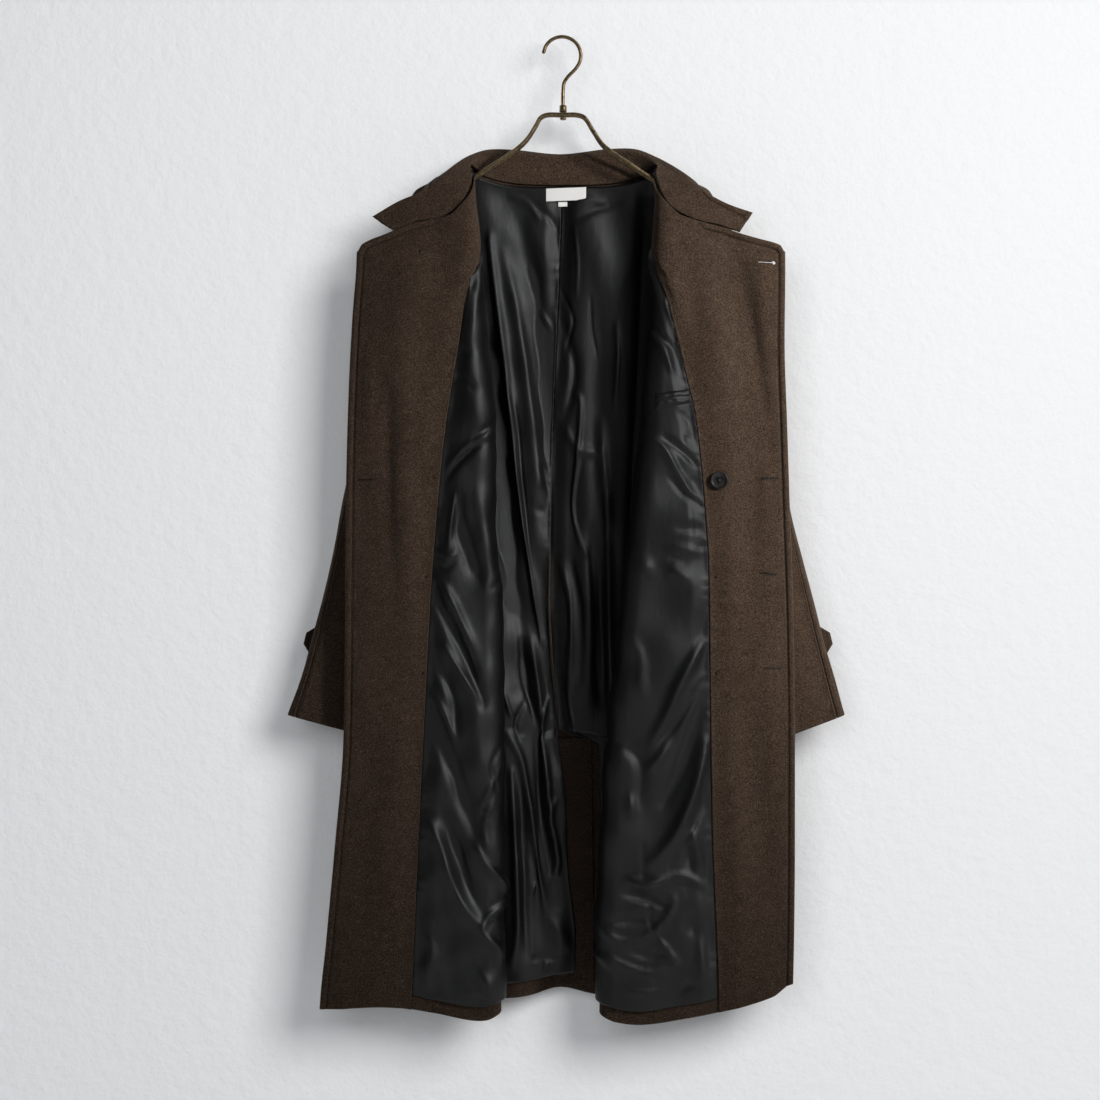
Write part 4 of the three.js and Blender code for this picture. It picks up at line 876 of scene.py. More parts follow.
# Top and under sleeve meet in two raised seams. The lining inside ends above the cuff.
def makeSleeve(name):
    side = sides[name]
    sign = side["sign"]
    rows = runs((0, 7.94, 100), (7.94, 8, 8))
    for node, start, end in (("top_sleeve_", sleeveSeams["fore"] - 175, sleeveSeams["fore"]),
                             ("under_sleeve_", sleeveSeams["fore"], sleeveSeams["hind"])):
        s = stations(44, 8, 0.05, 8, 0.05)
        gridS, gridV = np.meshgrid(s, rows)
        mid = sleevePoint(side, lerp(start + 0.2, end - 0.2, gridS), gridV)
        across = gridArc(mid, 1)
        away = np.minimum(across, across[:, -1:] - across)
        ridge = 0.9 * np.exp(-((away - 3.4) / 2.6) ** 2) - 0.45 * np.exp(-(away / 1.0) ** 2)
        hem = gridArc(mid, 0)
        hem = hem[-1:, :] - hem
        shape = creases(mid, sleeveFolds[name]) + 0.8 * swell(mid, 61 + sign, 120) * smooth(2, 30, hem)
        shape = shape * smooth(0, 14, away) * smooth(0.3, 1.5, gridV) + ridge
        edge = np.stack([across, away + 5.0], -1)
        pieces[node + name] = clothLayer(node.replace("_", " ") + name, mid, woolSpan, sign, "wool",
                                         [node + name],
                                         rim=1.1, bulge=-shape, edge=edge)
        inside = (stations(30), runs((1.2, 7.4, 60), (7.4, 7.52, 5)))
        gridS, gridV = np.meshgrid(*inside)
        mid = sleevePoint(side, lerp(start, end, gridS), gridV)
        clothLayer(node.replace("_", " ") + "lining " + name, mid, (-2.3, -1.6), sign, "lining", (),
                   rim=0.5, bulge=0.25 * swell(mid, 71, 70))


# Centripetal Catmull-Rom point, as the part's collar uses
def catmull(points, t):
    points = np.asarray(points, float)
    place = (len(points) - 1) * t
    k = min(int(place), len(points) - 2)
    w = place - k
    p1, p2 = points[k], points[k + 1]
    p0 = points[k - 1] if k > 0 else 2 * p1 - p2
    p3 = points[k + 2] if k + 2 < len(points) else 2 * p2 - p1
    d0, d1, d2 = [max(np.linalg.norm(b - a), 1e-4) ** 0.5 for a, b in ((p0, p1), (p1, p2), (p2, p3))]
    m1 = ((p1 - p0) / d0 - (p2 - p0) / (d0 + d1) + (p2 - p1) / d1) * d1
    m2 = ((p2 - p1) / d1 - (p3 - p1) / (d1 + d2) + (p3 - p2) / d2) * d1
    return (p1 + m1 * w + (-3 * p1 + 3 * p2 - 2 * m1 - m2) * w ** 2 + (2 * p1 - 2 * p2 + m1 + m2) * w ** 3)


def collarLine(side, row):
    onFront, u, foldIn, foldOut, leaf, crown = row
    one = np.array([float(u)])
    neck = (frontPoint if onFront else backPoint)(side, one, np.zeros(1))[0]
    if not onFront and u == 1:
        neck[0] = 0
    neck[2] += 1.2 if onFront else 1.0
    neck[1] -= 1.2
    hand = np.array([side["sign"], 1, 1])
    foldIn = np.array(foldIn, float) * hand
    foldOut = np.array(foldOut, float) * hand
    top = (foldIn + foldOut) / 2 + np.array([0, 0, crown])
    return [neck, foldIn, top, foldOut, np.array(leaf, float) * hand]


collarFolds = (
    (1.3, 7, 0, ((184, -176), (206, -200), (232, -224))),
    (-1.0, 8, 0, ((150, -170), (176, -196), (196, -218))),
    (1.2, 8, 0, ((-178, -176), (-200, -200), (-226, -226))),
    (-0.9, 8, 0, ((-150, -178), (-176, -202), (-200, -222))),
    (0.8, 9, 0, ((-90, -176), (-60, -182), (-20, -184))), (0.8, 9, 0, ((96, -176), (60, -182), (24, -184))),
)


def makeCollar():
    left = [collarLine(sides["left"], row) for row in leftCollarRows][::-1]
    lines = left + [collarLine(sides["right"], row) for row in rightCollarRows[1:]]
    along = runs((0, 0.022, 9), (0.022, 0.978, 170), (0.978, 1, 9))
    across = runs((0, 0.08, 4), (0.08, 1, 14), (1, 3, 18), (3, 3.72, 12), (3.72, 4, 14))
    curves = np.array([[catmull([line[k] for line in lines], t) for t in along] for k in range(5)])
    # The fold is rounded, the stand and the fall stay straight
    k = np.minimum(across.astype(int), 3)
    w = across - k
    mid = curves[k] * (1 - w)[:, None, None] + curves[k + 1] * w[:, None, None]
    for step in range(2):
        inner = mid[1:-1]
        soften = (smooth(0.7, 1.2, across) * (1 - smooth(2.8, 3.3, across)))[1:-1, None, None]
        mid[1:-1] = inner + soften * ((mid[:-2] + mid[2:]) / 2 - inner) * 0.5
    rim = np.concatenate([mid[:, 0][len(across) // 2:], mid[-1], mid[:, -1][::-1][:len(across) // 2]])
    distance, alongRim, offSide, length = nearest(mid, rim)
    sewn = np.where(across[:, None] > 2.2, distance, 99)
    relief = 0.5 * swell(mid, 81, 110) + creases(mid, collarFolds)
    edge = np.stack([alongRim, sewn], -1)
    quiet = smooth(0, 3, rimDistance(mid))
    for name, span, direction in (("upper", (-2.2, -0.2), 1), ("under", (0.2, 2.2), -1)):
        lift = relief * quiet + direction * sewnEdge(sewn)
        draw = direction * 0.35 * np.exp(-(distance / 1.2) ** 2)
        pieces[name + "_collar"] = clothLayer(name + " collar", mid, span, 1, "wool", [name + "_collar"],
                                              rim=1.2, bulge=lift, draw=draw, edge=edge)


def tubeMesh(points, radius, around=18, closed=True):
    points = np.asarray(points, float)
    forward = np.gradient(points, axis=0)
    forward /= np.linalg.norm(forward, axis=1, keepdims=True)
    side = np.cross(forward[0], (0.31, 0.9, 0.12))
    rings = []
    for point, direction in zip(points, forward):
        side = side - direction * (side @ direction)
        side = side / np.linalg.norm(side)
        up = np.cross(direction, side)
        turn = np.linspace(0, 2 * np.pi, around, endpoint=False)
        rings.append((point, side, up, direction, turn))
    radii = np.broadcast_to(radius, len(points)).astype(float)
    vertices = [p + r * (np.cos(t)[:, None] * s + np.sin(t)[:, None] * u)
                for (p, s, u, d, t), r in zip(rings, radii)]
    faces = []
    for k in range(len(points) - 1):
        for j in range(around):
            n = (j + 1) % around
            faces.append((k * around + j, k * around + n, (k + 1) * around + n, (k + 1) * around + j))
    flat = np.concatenate(vertices)
    count = len(flat)
    if closed:
        for end, ring in ((0, 0), (len(points) - 1, (len(points) - 1) * around)):
            sign = -1 if end == 0 else 1
            flat = np.vstack([flat, points[end] + sign * forward[end] * radii[end] * 0.6])
            for j in range(around):
                n = (j + 1) % around
                face = (ring + j, ring + n, count)
                faces.append(face if end else face[::-1])
            count += 1
    mesh = bpy.data.meshes.new("tube")
    mesh.from_pydata((flat * 0.001).tolist(), [], faces)
    mesh.polygons.foreach_set("use_smooth", [True] * len(faces))
    mesh.update()
    return mesh


def latheMesh(profile, around=48):
    turn = np.linspace(0, 2 * np.pi, around, endpoint=False)
    vertices = []
    faces = []
    for r, z in profile:
        vertices += [(r * math.cos(t) * 0.001, r * math.sin(t) * 0.001, z * 0.001) for t in turn]
    for k in range(len(profile) - 1):
        for j in range(around):
            n = (j + 1) % around
            faces.append((k * around + j, k * around + n, (k + 1) * around + n, (k + 1) * around + j))
    mesh = bpy.data.meshes.new("lathe")
    mesh.from_pydata(vertices, [], faces)
    mesh.validate()
    mesh.polygons.foreach_set("use_smooth", [True] * len(mesh.polygons))
    return mesh


# Folds of the linings: height, width, lean and the line of x and z that each follows
liningFolds = {
    "left": (
        (3, 12, 0, ((-120, -346), (-116, -410), (-114, -474), (-111, -509))),
        (-3, 2.6, 0, ((-95, -503), (-105, -514), (-116, -527))),
        (-4.5, 3.6, 0, ((-106, -528), (-130, -551), (-149, -574))),
        (2.2, 4, 0, ((-97, -517), (-123, -535), (-146, -558))),
        (-2.6, 4, 0, ((-141, -440), (-124, -447), (-111, -462))), (-1.6, 3, 0, ((-132, -410), (-115, -415))),
        (3, 3, 0, ((-137, -592), (-141, -627), (-146, -662))),
        (-6.5, 9, 0.3, ((-132, -601), (-125, -639), (-115, -672), (-104, -700))),
        (2.6, 7, 0, ((-107, -595), (-100, -646), (-95, -697))),
        (-2.2, 2.6, 0, ((-165, -681), (-148, -688), (-132, -674))),
        (2.2, 3, 0, ((-162, -664), (-144, -672), (-133, -669))),
        (4, 6, 0, ((-160, -697), (-141, -729), (-125, -764), (-112, -792))),
        (-5.5, 6, 0, ((-166, -713), (-148, -751), (-128, -790), (-110, -833), (-101, -861))),
        (3.2, 4, 0, ((-151, -786), (-134, -814), (-120, -834), (-105, -856))),
        (-4.5, 6, 0, ((-171, -787), (-155, -815), (-138, -853), (-134, -894))),
        (3.2, 5, 0, ((-169, -841), (-149, -876), (-137, -913))),
        (-6.5, 9, 0, ((-170, -869), (-148, -913), (-129, -968), (-111, -1022))),
        (3.5, 13, 0, ((-110, -843), (-106, -907), (-101, -971))),
        (1.6, 2.2, 0, ((-83, -935), (-93, -968), (-106, -994))),
        (-1.6, 2, 0, ((-82, -910), (-92, -939), (-87, -971))),
        (1.8, 2.4, 0, ((-90, -984), (-100, -1017), (-96, -1047))),
        (-1.4, 1.8, 0, ((-105, -1004), (-90, -1005))),
        (4.5, 3.4, 0, ((-109, -1042), (-97, -1065), (-83, -1088), (-77, -1108), (-83, -1120), (-96, -1133),
                       (-102, -1149))),
        (4.5, 3.4, 0, ((-102, -1149), (-93, -1163), (-86, -1175), (-87, -1190))),
        (6.5, 9, 0.25, ((-176, -1003), (-156, -1037), (-141, -1085), (-121, -1124), (-97, -1149))),
        (-5.5, 8, 0, ((-153, -999), (-135, -1045), (-120, -1091), (-105, -1119))),
        (3, 6, 0, ((-105, -1200), (-96, -1216), (-92, -1240))),
        (3, 7, 0, ((-176, -1152), (-167, -1175), (-174, -1223))),
        (-2.4, 11, 0, ((-148, -1149), (-141, -1194), (-134, -1238))),
        (1.5, 2.4, 0, ((-120, -1226), (-100, -1230))), (-1.8, 2.4, 0, ((-116, -316), (-118, -333))),
        (1.4, 3, 0, ((-128, -361), (-135, -403), (-144, -453))), (-1.2, 2.2, 0, ((-84, -703), (-95, -716))),),
    "right": (
        (-2.4, 3, 0, ((118, -378), (132, -398), (145, -412))),
        (2.2, 4, 0, ((120, -389), (130, -410), (140, -438))), (1.8, 3, 0, ((132, -346), (140, -378))),
        (-3.4, 3.6, 0, ((130, -523), (150, -537), (173, -558))),
        (3.4, 4.4, 0, ((107, -517), (130, -537), (146, -565), (163, -591), (178, -601))),
        (-1.4, 2, 0, ((153, -526), (169, -521))), (-2.2, 2.6, 0, ((135, -572), (155, -593), (179, -609))),
        (-1.6, 2, 0, ((145, -489), (163, -500))), (-1.4, 2, 0, ((163, -576), (177, -579))),
        (3.2, 10, 0, ((135, -685), (163, -706))), (2.2, 8, 0, ((102, -678), (112, -693))),
        (-2.6, 5, 0, ((145, -637), (181, -637))), (2.4, 6, 0, ((137, -662), (176, -667))),
        (5.5, 7, 0, ((186, -774), (163, -810), (146, -843), (135, -871), (114, -912))),
        (-2.8, 2.4, 0, ((186, -825), (171, -843), (155, -871), (136, -896), (114, -913))),
        (3, 5, 0, ((135, -910), (125, -927), (109, -945))),
        (-5.5, 9, 0, ((176, -853), (164, -904), (150, -945), (130, -986))),
        (6.2, 7, 0, ((183, -910), (174, -952), (163, -984), (146, -1022), (130, -1045), (114, -1063))),
        (-2.4, 2.2, 0, ((187, -975), (176, -994), (163, -1022), (148, -1047), (135, -1065))),
        (4.6, 6, 0, ((84, -1085), (106, -1091), (130, -1083))),
        (2.4, 5, 0, ((130, -1083), (155, -1080), (181, -1093))),
        (-4.6, 5, 0, ((81, -1102), (106, -1108), (135, -1117))), (-1.8, 2.2, 0, ((102, -1038), (103, -1080))),
        (-1.8, 2.2, 0, ((109, -1117), (116, -1152))),
        (3.4, 4, 0, ((51, -1134), (62, -1156), (81, -1163), (112, -1152), (134, -1131), (141, -1108))),
        (3.4, 3.2, 0, ((56, -1180), (80, -1194), (112, -1203), (142, -1194))),
        (-3, 5, 0, ((63, -1139), (86, -1136), (109, -1134))),
        (-2.6, 4, 0, ((86, -1175), (112, -1181), (135, -1175))),
        (2.8, 4, 0, ((118, -1156), (134, -1175), (148, -1195))),
        (2.6, 2.6, 0, ((49, -1180), (66, -1196), (81, -1209))),
        (2.6, 6, 0, ((155, -1009), (171, -1047), (176, -1075))), (-3, 7, 0, ((160, -1037), (163, -1068))),
        (-3.2, 9, 0, ((163, -1130), (168, -1156))), (3, 8, 0, ((89, -780), (99, -805), (99, -843))),
        (-3, 8, 0, ((74, -910), (99, -933), (99, -984))), (2.6, 6, 0, ((86, -977), (89, -1003))),
        (2.2, 5, 0, ((176, -1162), (179, -1207))), (-2, 4, 0, ((145, -1228), (163, -1218), (178, -1226))),
        (1.6, 3, 0, ((67, -1219), (99, -1228), (135, -1223))), (-0.9, 1.2, 0, ((165, -611), (165, -664))),
        (-0.9, 1.2, 0, ((155, -664), (185, -661))),),
}
backLiningFolds = {
    "left": (
        (5.5, 4.5, -0.3, ((-96, -256), (-86, -337), (-77, -403), (-69, -468), (-61, -534), (-54, -599),
                          (-44, -665), (-34, -730), (-25, -785))),
        (3.2, 7, 0, ((-77, -278), (-64, -337), (-55, -392), (-46, -455), (-38, -521), (-31, -576))),
        (-1.4, 1.9, 0, ((-68, -448), (-58, -494), (-52, -547), (-44, -625), (-35, -698))),
        (-7, 13, 0, ((-97, -363), (-85, -507), (-75, -625), (-67, -730), (-60, -848))),
        (-5.5, 13, 0, ((-55, -239), (-37, -311), (-25, -389), (-21, -468), (-22, -534))),
        (2.6, 4, 0, ((-29, -353), (-12, -379))), (-1.8, 3, 0, ((-29, -555), (-18, -589))),
        (-1.6, 3.4, 0, ((-37, -610), (-22, -616))), (4.4, 7, 0, ((-42, -783), (-31, -848), (-27, -890))),
        (-3.6, 5, 0, ((-55, -785), (-47, -848), (-34, -890))),
        (2.2, 2.4, 0, ((-16, -856), (-22, -876), (-27, -894))),
        (4.6, 3.2, 0, ((-27, -896), (-21, -940), (-17, -993), (-14, -1021))),
        (4, 3, 0, ((-8, -993), (-16, -1014), (-10, -1042), (-5, -1074), (-13, -1095))),
        (4.4, 4.6, 0, ((-71, -905), (-56, -940), (-47, -993), (-38, -1053), (-29, -1097), (-21, -1139))),
        (4.2, 3.6, 0, ((-67, -953), (-63, -1032), (-60, -1097), (-58, -1163), (-64, -1209))),
        (-3.4, 4, 0, ((-56, -974), (-52, -1058), (-50, -1124), (-48, -1192))),
        (-3.6, 6, 0, ((-34, -914), (-29, -993), (-18, -1066), (-5, -1130))),
        (-1.2, 1.3, 0, ((-77, -897), (-47, -905))), (1.8, 2.2, 0, ((-77, -848), (-71, -872), (-64, -890))),
        (-1.8, 2.4, 0, ((-50, -861), (-63, -890), (-58, -911))), (1.8, 2.4, 0, ((-37, -1100), (-44, -1113))),
        (-1.1, 1.4, 0, ((-25, -966), (-8, -968))), (3, 9, 0, ((-21, -1143), (-2, -1170), (5, -1189))),
        (-1.3, 1.5, 0, ((-52, -1198), (-17, -1197), (20, -1196))), (2.2, 3, 0, ((-22, -1200), (-23, -1218))),
        (-1.8, 3, 0, ((-42, -213), (-22, -224), (-5, -243))),
        (1.4, 3, 0, ((-68, -201), (-44, -211), (-29, -232))), (-1.5, 3, 0, ((-81, -521), (-60, -555))),
        (2.6, 8, 0, ((-75, -678), (-65, -757), (-60, -835))),),
    "right": (
        (4.4, 24, 0, ((34, -201), (47, -287), (55, -383))),
        (1.2, 1.6, 0, ((17, -240), (21, -287), (20, -334))),
        (-1.2, 1.6, 0, ((36, -333), (38, -376), (45, -410))),
        (2.8, 2.3, 0, ((16, -458), (25, -472), (22, -547), (16, -606), (24, -649), (33, -673))),
        (2.2, 4, 0, ((72, -370), (74, -416), (70, -481))),
        (-9, 13, 0, ((110, -206), (113, -337), (106, -534), (98, -678), (87, -861))),
        (3.4, 7, 0, ((58, -599), (62, -678), (64, -783), (67, -901))),
        (-4.4, 8, 0, ((37, -639), (46, -730), (50, -861))), (3.4, 9, 0, ((50, -494), (55, -573), (66, -639))),
        (2.6, 5, 0, ((-2, -681), (11, -730), (13, -783), (9, -848))),
        (-2.6, 5, 0, ((13, -678), (26, -743), (26, -835))),
        (-1.8, 4, 0, ((13, -237), (37, -222), (76, -209))),
        (1.6, 3, 0, ((8, -216), (37, -206), (58, -211))), (-1.1, 1.4, 0, ((5, -872), (29, -872))),
        (1.4, 2, 0, ((8, -848), (11, -877), (21, -914))), (-2.8, 6, 0, ((5, -376), (18, -429), (5, -494))),
        (2.2, 6, 0, ((5, -507), (24, -534), (50, -536))),
        (-1.6, 2.4, 0, ((-2, -324), (16, -363), (5, -405))),),
}


for name in ("left", "right"):
    makeFront(name)
    makeFrontLining(name)
    makeBack(name)
    makeBackLining(name)
    makeSleeve(name)
pieces["vent_underlap"] = makeUnderlap()
makeCollar()
print("cloth made")


hanger = {"wire": 2.4, "hookRadius": 24.4, "hookZ": -22, "tip": 172, "stemX": 1.4, "stemEnd": -103,
          "ferrule": ((2.5, -87), (4.2, -87), (4.8, -87.8), (4.8, -94.9), (4.2, -95.7), (2.5, -95.7)),
          "nub": ((0.1, -103.3), (4.0, -103.3), (4.6, -103.8), (3.7, -105.4), (3.1, -105.7), (0.1, -105.7))}
leftWire = ((190.5, 1.3, -223), (189, 5, -221.5), (181, 8.5, -217), (150, 10, -200.5), (115, 7.8, -181.5),
            (87, 9, -163.6), (62.4, 7.8, -147), (46.8, 6.6, -133), (34.6, 5.8, -115), (28, 5.4, -103.5),
            (20, 5.2, -99.6))
rightWire = ((0, 5.2, -99.4), (20, 5.2, -99.6), (29, 5.4, -103), (40.3, 5.9, -120), (52.5, 7, -138),
             (69, 8.2, -151.5), (87.4, 9, -163.6), (115, 7.8, -181.5), (150, 10, -200.5), (181, 8.5, -217),
             (189, 5, -221.5), (190.5, 1.3, -223))


def makeHanger():
    h = hanger
    hook = []
    for angle in range(h["tip"], -21, -24):
        turn = math.radians(angle)
        hook.append((h["hookRadius"] * math.cos(turn), 0, h["hookZ"] + h["hookRadius"] * math.sin(turn)))
    for x, z in ((17.4, -39.5), (8.6, -48.6), (2.9, -57), (h["stemX"], -68), (h["stemX"], h["stemEnd"])):
        hook.append((x, 0, z))
    path = [catmull(hook, t) for t in np.linspace(0, 1, 120)]
    finishObject("hanger hook", tubeMesh(path, h["wire"]), "brass", ["hanger_hook"])
    for name, depth in (("front", -1), ("back", 1)):
        points = [(-x, depth * y, z) for x, y, z in leftWire] + [(x, depth * y, z) for x, y, z in rightWire]
        path = [catmull(points, t) for t in np.linspace(0, 1, 220)]
        finishObject("hanger wire " + name, tubeMesh(path, h["wire"], 16), "brass", ["hanger_wire_" + name])
    for name, profile, node in (("ferrule", h["ferrule"], "hanger_ferrule"),
                                ("rivet", h["nub"], "hanger_rivet")):
        closed = list(profile) + [profile[0]]
        mesh = latheMesh(closed)
        mesh.transform(Matrix.Translation((h["stemX"] * 0.001, 0, 0)))
        finishObject("hanger " + name, mesh, "brass", [node])


makeHanger()
print("hanger made")


button = {"radius": 11.3, "thick": 4.2, "rim": 1.6, "dish": 1.1, "hole": 1.15, "spread": 2.5, "thread": 0.42}


def cutWith(target, cutter):
    bpy.context.scene.collection.objects.link(cutter)
    modifier = target.modifiers.new("cut", "BOOLEAN")
    modifier.operation = "DIFFERENCE"
    modifier.solver = "EXACT"
    modifier.object = cutter
    bpy.context.view_layer.update()
    graph = bpy.context.evaluated_depsgraph_get()
    result = bpy.data.meshes.new_from_object(target.evaluated_get(graph))
    target.modifiers.clear()
    target.data = result
    bpy.data.objects.remove(cutter)


def buttonMesh():
    b = button
    top = b["thick"]
    low = top - b["dish"]
    profile = [(0.01, 0), (b["radius"] * 0.78, 0), (b["radius"] * 0.95, 0.7), (b["radius"], 1.9),
               (b["radius"] * 0.99, 3.2), (b["radius"] * 0.955, 4.0), (b["radius"] - 1.0, top),
               (b["radius"] - 1.7, top - 0.1), (b["radius"] - 2.5, low + 0.25), (b["radius"] - 3.4, low),
               (5.0, low - 0.25), (0.01, low - 0.3)]
    smoothProfile = [catmull([(r, z, 0) for r, z in profile], t)[:2] for t in np.linspace(0, 1, 48)]
    body = bpy.data.objects.new("button", latheMesh(smoothProfile, 64))
    bpy.context.scene.collection.objects.link(body)
    mesh = body.data
    faces = [list(range(64))[::-1], [64 * 47 + k for k in range(64)]]
    vertices = [tuple(v.co) for v in mesh.vertices]
    polygons = [tuple(p.vertices) for p in mesh.polygons] + [tuple(f) for f in faces]
    whole = bpy.data.meshes.new("button")
    whole.from_pydata(vertices, [], polygons)
    whole.polygons.foreach_set("use_smooth", [True] * len(polygons))
    body.data = whole
    for dx, dy in ((1, 0), (-1, 0), (0, 1), (0, -1)):
        s = b["spread"]
        drill = latheMesh([(0.01, -1), (b["hole"], -1), (b["hole"], 6), (0.01, 6)], 20)
        cutter = bpy.data.objects.new("hole", drill)
        cutter.location = (dx * s * 0.001, dy * s * 0.001, 0)
        cutWith(body, cutter)
    result = body.data.copy()
    bpy.data.objects.remove(body)
    return result


# Thread through the four holes, crossed on the face
def threadMesh(low):
    s = button["spread"]
    meshes = []
    for dx, dy in ((1, 0), (0, 1)):
        for shift in (-0.38, 0.38):
            lift = 0.55 + (0.35 if dy else 0)
            points = [(-dx * s, -dy * s, low - 1.5), (-dx * s * 0.95, -dy * s * 0.95, low + lift * 0.7),
                      (0, 0, low + lift), (dx * s * 0.95, dy * s * 0.95, low + lift * 0.7),
                      (dx * s, dy * s, low - 1.5)]
            points = [(x + shift * dy, y + shift * dx, z) for x, y, z in points]
            meshes.append(tubeMesh([catmull(points, t) for t in np.linspace(0, 1, 22)], button["thread"], 8))
    return joined(meshes)


def joined(meshes):
    vertices = []
    faces = []
    for mesh in meshes:
        start = len(vertices)
        vertices += [tuple(v.co) for v in mesh.vertices]
        faces += [tuple(start + k for k in p.vertices) for p in mesh.polygons]
    result = bpy.data.meshes.new("joined")
    result.from_pydata(vertices, [], faces)
    result.polygons.foreach_set("use_smooth", [True] * len(faces))
    return result


plainButton = buttonMesh()
plainThread = threadMesh(button["thick"] - button["dish"])


def placeButton(name, node, seat, direction, scale, turn=0.6):
    spin = Matrix.Rotation(turn, 4, "Z")
    aim = Vector((0, 0, 1)).rotation_difference(Vector(direction)).to_matrix().to_4x4()
    place = Matrix.Translation(Vector(seat) * 0.001) @ aim @ spin @ Matrix.Scale(scale, 4)
    body = plainButton.copy()
    body.transform(place)
    finishObject(name, body, "horn", [node])
    thread = plainThread.copy()
    thread.transform(place)
    finishObject(name + " thread", thread, "horn")


def flapPoint(side, x, z, distance, sign):
    u = float(stationAt(side, x, z))
    top = float(frontTop(side, np.array(u)))
    low = float(read(side["hem"], "u", "z", u))
    v = (top - z) / (top - low)
    step = 0.004
    across = np.array([[u, u + step], [u, u + step]])
    grid = frontPoint(side, across, np.array([[v, v], [v + step, v + step]]))
    normal = normalsOf(grid, sign)[0, 0]
    return grid[0, 0] + normal * distance, normal


# Seats on the finished cloth, found from the viewer's side
def surfaceOf(node):
    mesh = pieces[node].data
    return BVHTree.FromPolygons([v.co.copy() for v in mesh.vertices],
                                [tuple(p.vertices) for p in mesh.polygons])


surfaces = {node: surfaceOf(node) for node in ("facing_left", "facing_right", "front_lining_right",
                                               "back_lining_left", "back_lining_right")}


def seatOn(node, x, z, rise=0.0):
    eye = Vector((x * 0.001, -0.2, z * 0.001))
    hit, normal = surfaces[node].ray_cast(eye, Vector((0, 1, 0)))[:2]
    normal = np.array(normal) * (-1 if normal.y > 0 else 1)
    return np.array(hit) * 1000 + normal * rise, normal


outerButtons = (("button_left_top", "left", 180, -288), ("button_left_upper", "left", 163, -574),
                ("button_left_middle", "left", 170, -699), ("button_left_lower", "left", 175, -821),
                ("button_right_upper", "right", 196, -574), ("button_right_middle", "right", 195, -699),
                ("button_right_lower", "right", 196, -821))
for node, name, x, z in outerButtons:
    seat, normal = flapPoint(sides[name], x, z, 1.7, panelSign[name])
    placeButton(node.replace("_", " "), node, seat, normal, 1)
seat, normal = seatOn("facing_right", 200, -576, 0.7)
placeButton("button inner", "button_inner", seat, normal, 1)
for name in ("left", "right"):
    seat = (sides[name]["sign"] * ((321 if name == "left" else 337) - 12), 4.9, -780)
    placeButton("cuff button " + name, "cuff_button_" + name, seat, (0, 1, 0), 0.72)
print("buttons made")


labels = {"neck_label": (-21, 31.5, -191, -208), "size_tab": (-5, 7, -208.6, -215)}


# Bare woven labels, the neck label sewn flat along its ends
def makeLabel(node, x0, x1, z0, z1):
    s = stations(30, 4, 0.03, 4, 0.03)
    v = stations(12, 3, 0.06, 3, 0.06)
    gridS, gridV = np.meshgrid(s, v)
    x = lerp(x0, x1, gridS)
    z = lerp(z0, z1, gridV)
    tilt = 0.035 * (x - (x0 + x1) / 2)
    # One flat plane through the seats of the two ends, brought forward until it clears the cloth between them
    places = np.array([a for a in np.linspace(x0, x1, 9) if a < -2.5 or a > 3])
    seats = np.array([seatOn("back_lining_left" if a < -2 else "back_lining_right", a, (z0 + z1) / 2)[0][1]
                      for a in places])
    plane = np.interp(places, (x0, x1), (seats[0], seats[-1]))
    clear = np.max(plane - seats) + 0.7
    y = np.interp(x, (x0, x1), (seats[0], seats[-1])) - clear
    y = y - 0.4 * np.sin(np.pi * gridV) - 0.2 * np.sin(5 * gridS + 1)
    mid = np.stack([x, y, z + tilt], -1)
    obj = clothLayer(node.replace("_", " "), mid, (-0.4, 0.4), -1, "woven", [node], rim=0.4)
    return obj


for node, size in labels.items():
    makeLabel(node, *size)


# Jetted inner pocket, a tilted lens: two padded satin welts with the pocket's mouth between them
pocket = {"x": (118.0, 179.5), "top": (-466.0, -457.0), "low": (-487.0, -474.0), "mouth": 1.7,
          "proud": 2.6, "deep": 2.2}


def makePocket():
    p = pocket
    s = stations(36, 5, 0.04, 5, 0.04)
    v = stations(10, 3, 0.12, 3, 0.12)
    x = lerp(*p["x"], s)
    top, low = lerp(*p["top"], s), lerp(*p["low"], s)
    upper = np.array([seatOn("front_lining_right", a, b)[0] for a, b in zip(x, top + 1.5)])
    lower = np.array([seatOn("front_lining_right", a, b)[0] for a, b in zip(x, low - 1.5)])
    forward = seatOn("front_lining_right", 150, -500)[1]
    gape = p["mouth"] * np.sin(np.pi * s) ** 0.8
    middle = (top + low) / 2 + 1.2 * np.sin(2 * np.pi * s)
    for node, outer, inner in (("pocket_welt_upper", top, middle + gape),
                               ("pocket_welt_lower", low, middle - gape)):
        z = outer + (inner - outer) * v[:, None]
        part = ((z - low - 1.5) / (top - low + 3))[..., None]
        base = lower + (upper - lower) * np.clip(part, 0, 1)
        base[..., 0], base[..., 2] = x, z
        plump = np.sin(np.pi * np.clip(v * 0.72 + 0.02, 0, 1))[:, None] ** 0.7
        wave = 0.35 * np.sin(s * 31 + (2 if node == "pocket_welt_upper" else 0)) * v[:, None]
        ends = np.minimum(1, np.minimum(s, 1 - s) / 0.06) ** 0.5
        proud = (p["proud"] * plump + wave) * ends
        near = base + forward * proud[..., None]
        far = base - forward * p["deep"]
        near[0], near[:, 0], near[:, -1] = far[0], far[:, 0], far[:, -1]
        near[-1] = far[-1]
        pieces[node] = finishObject(node.replace("_", " "), shellMesh(near, far), "lining", [node])


makePocket()
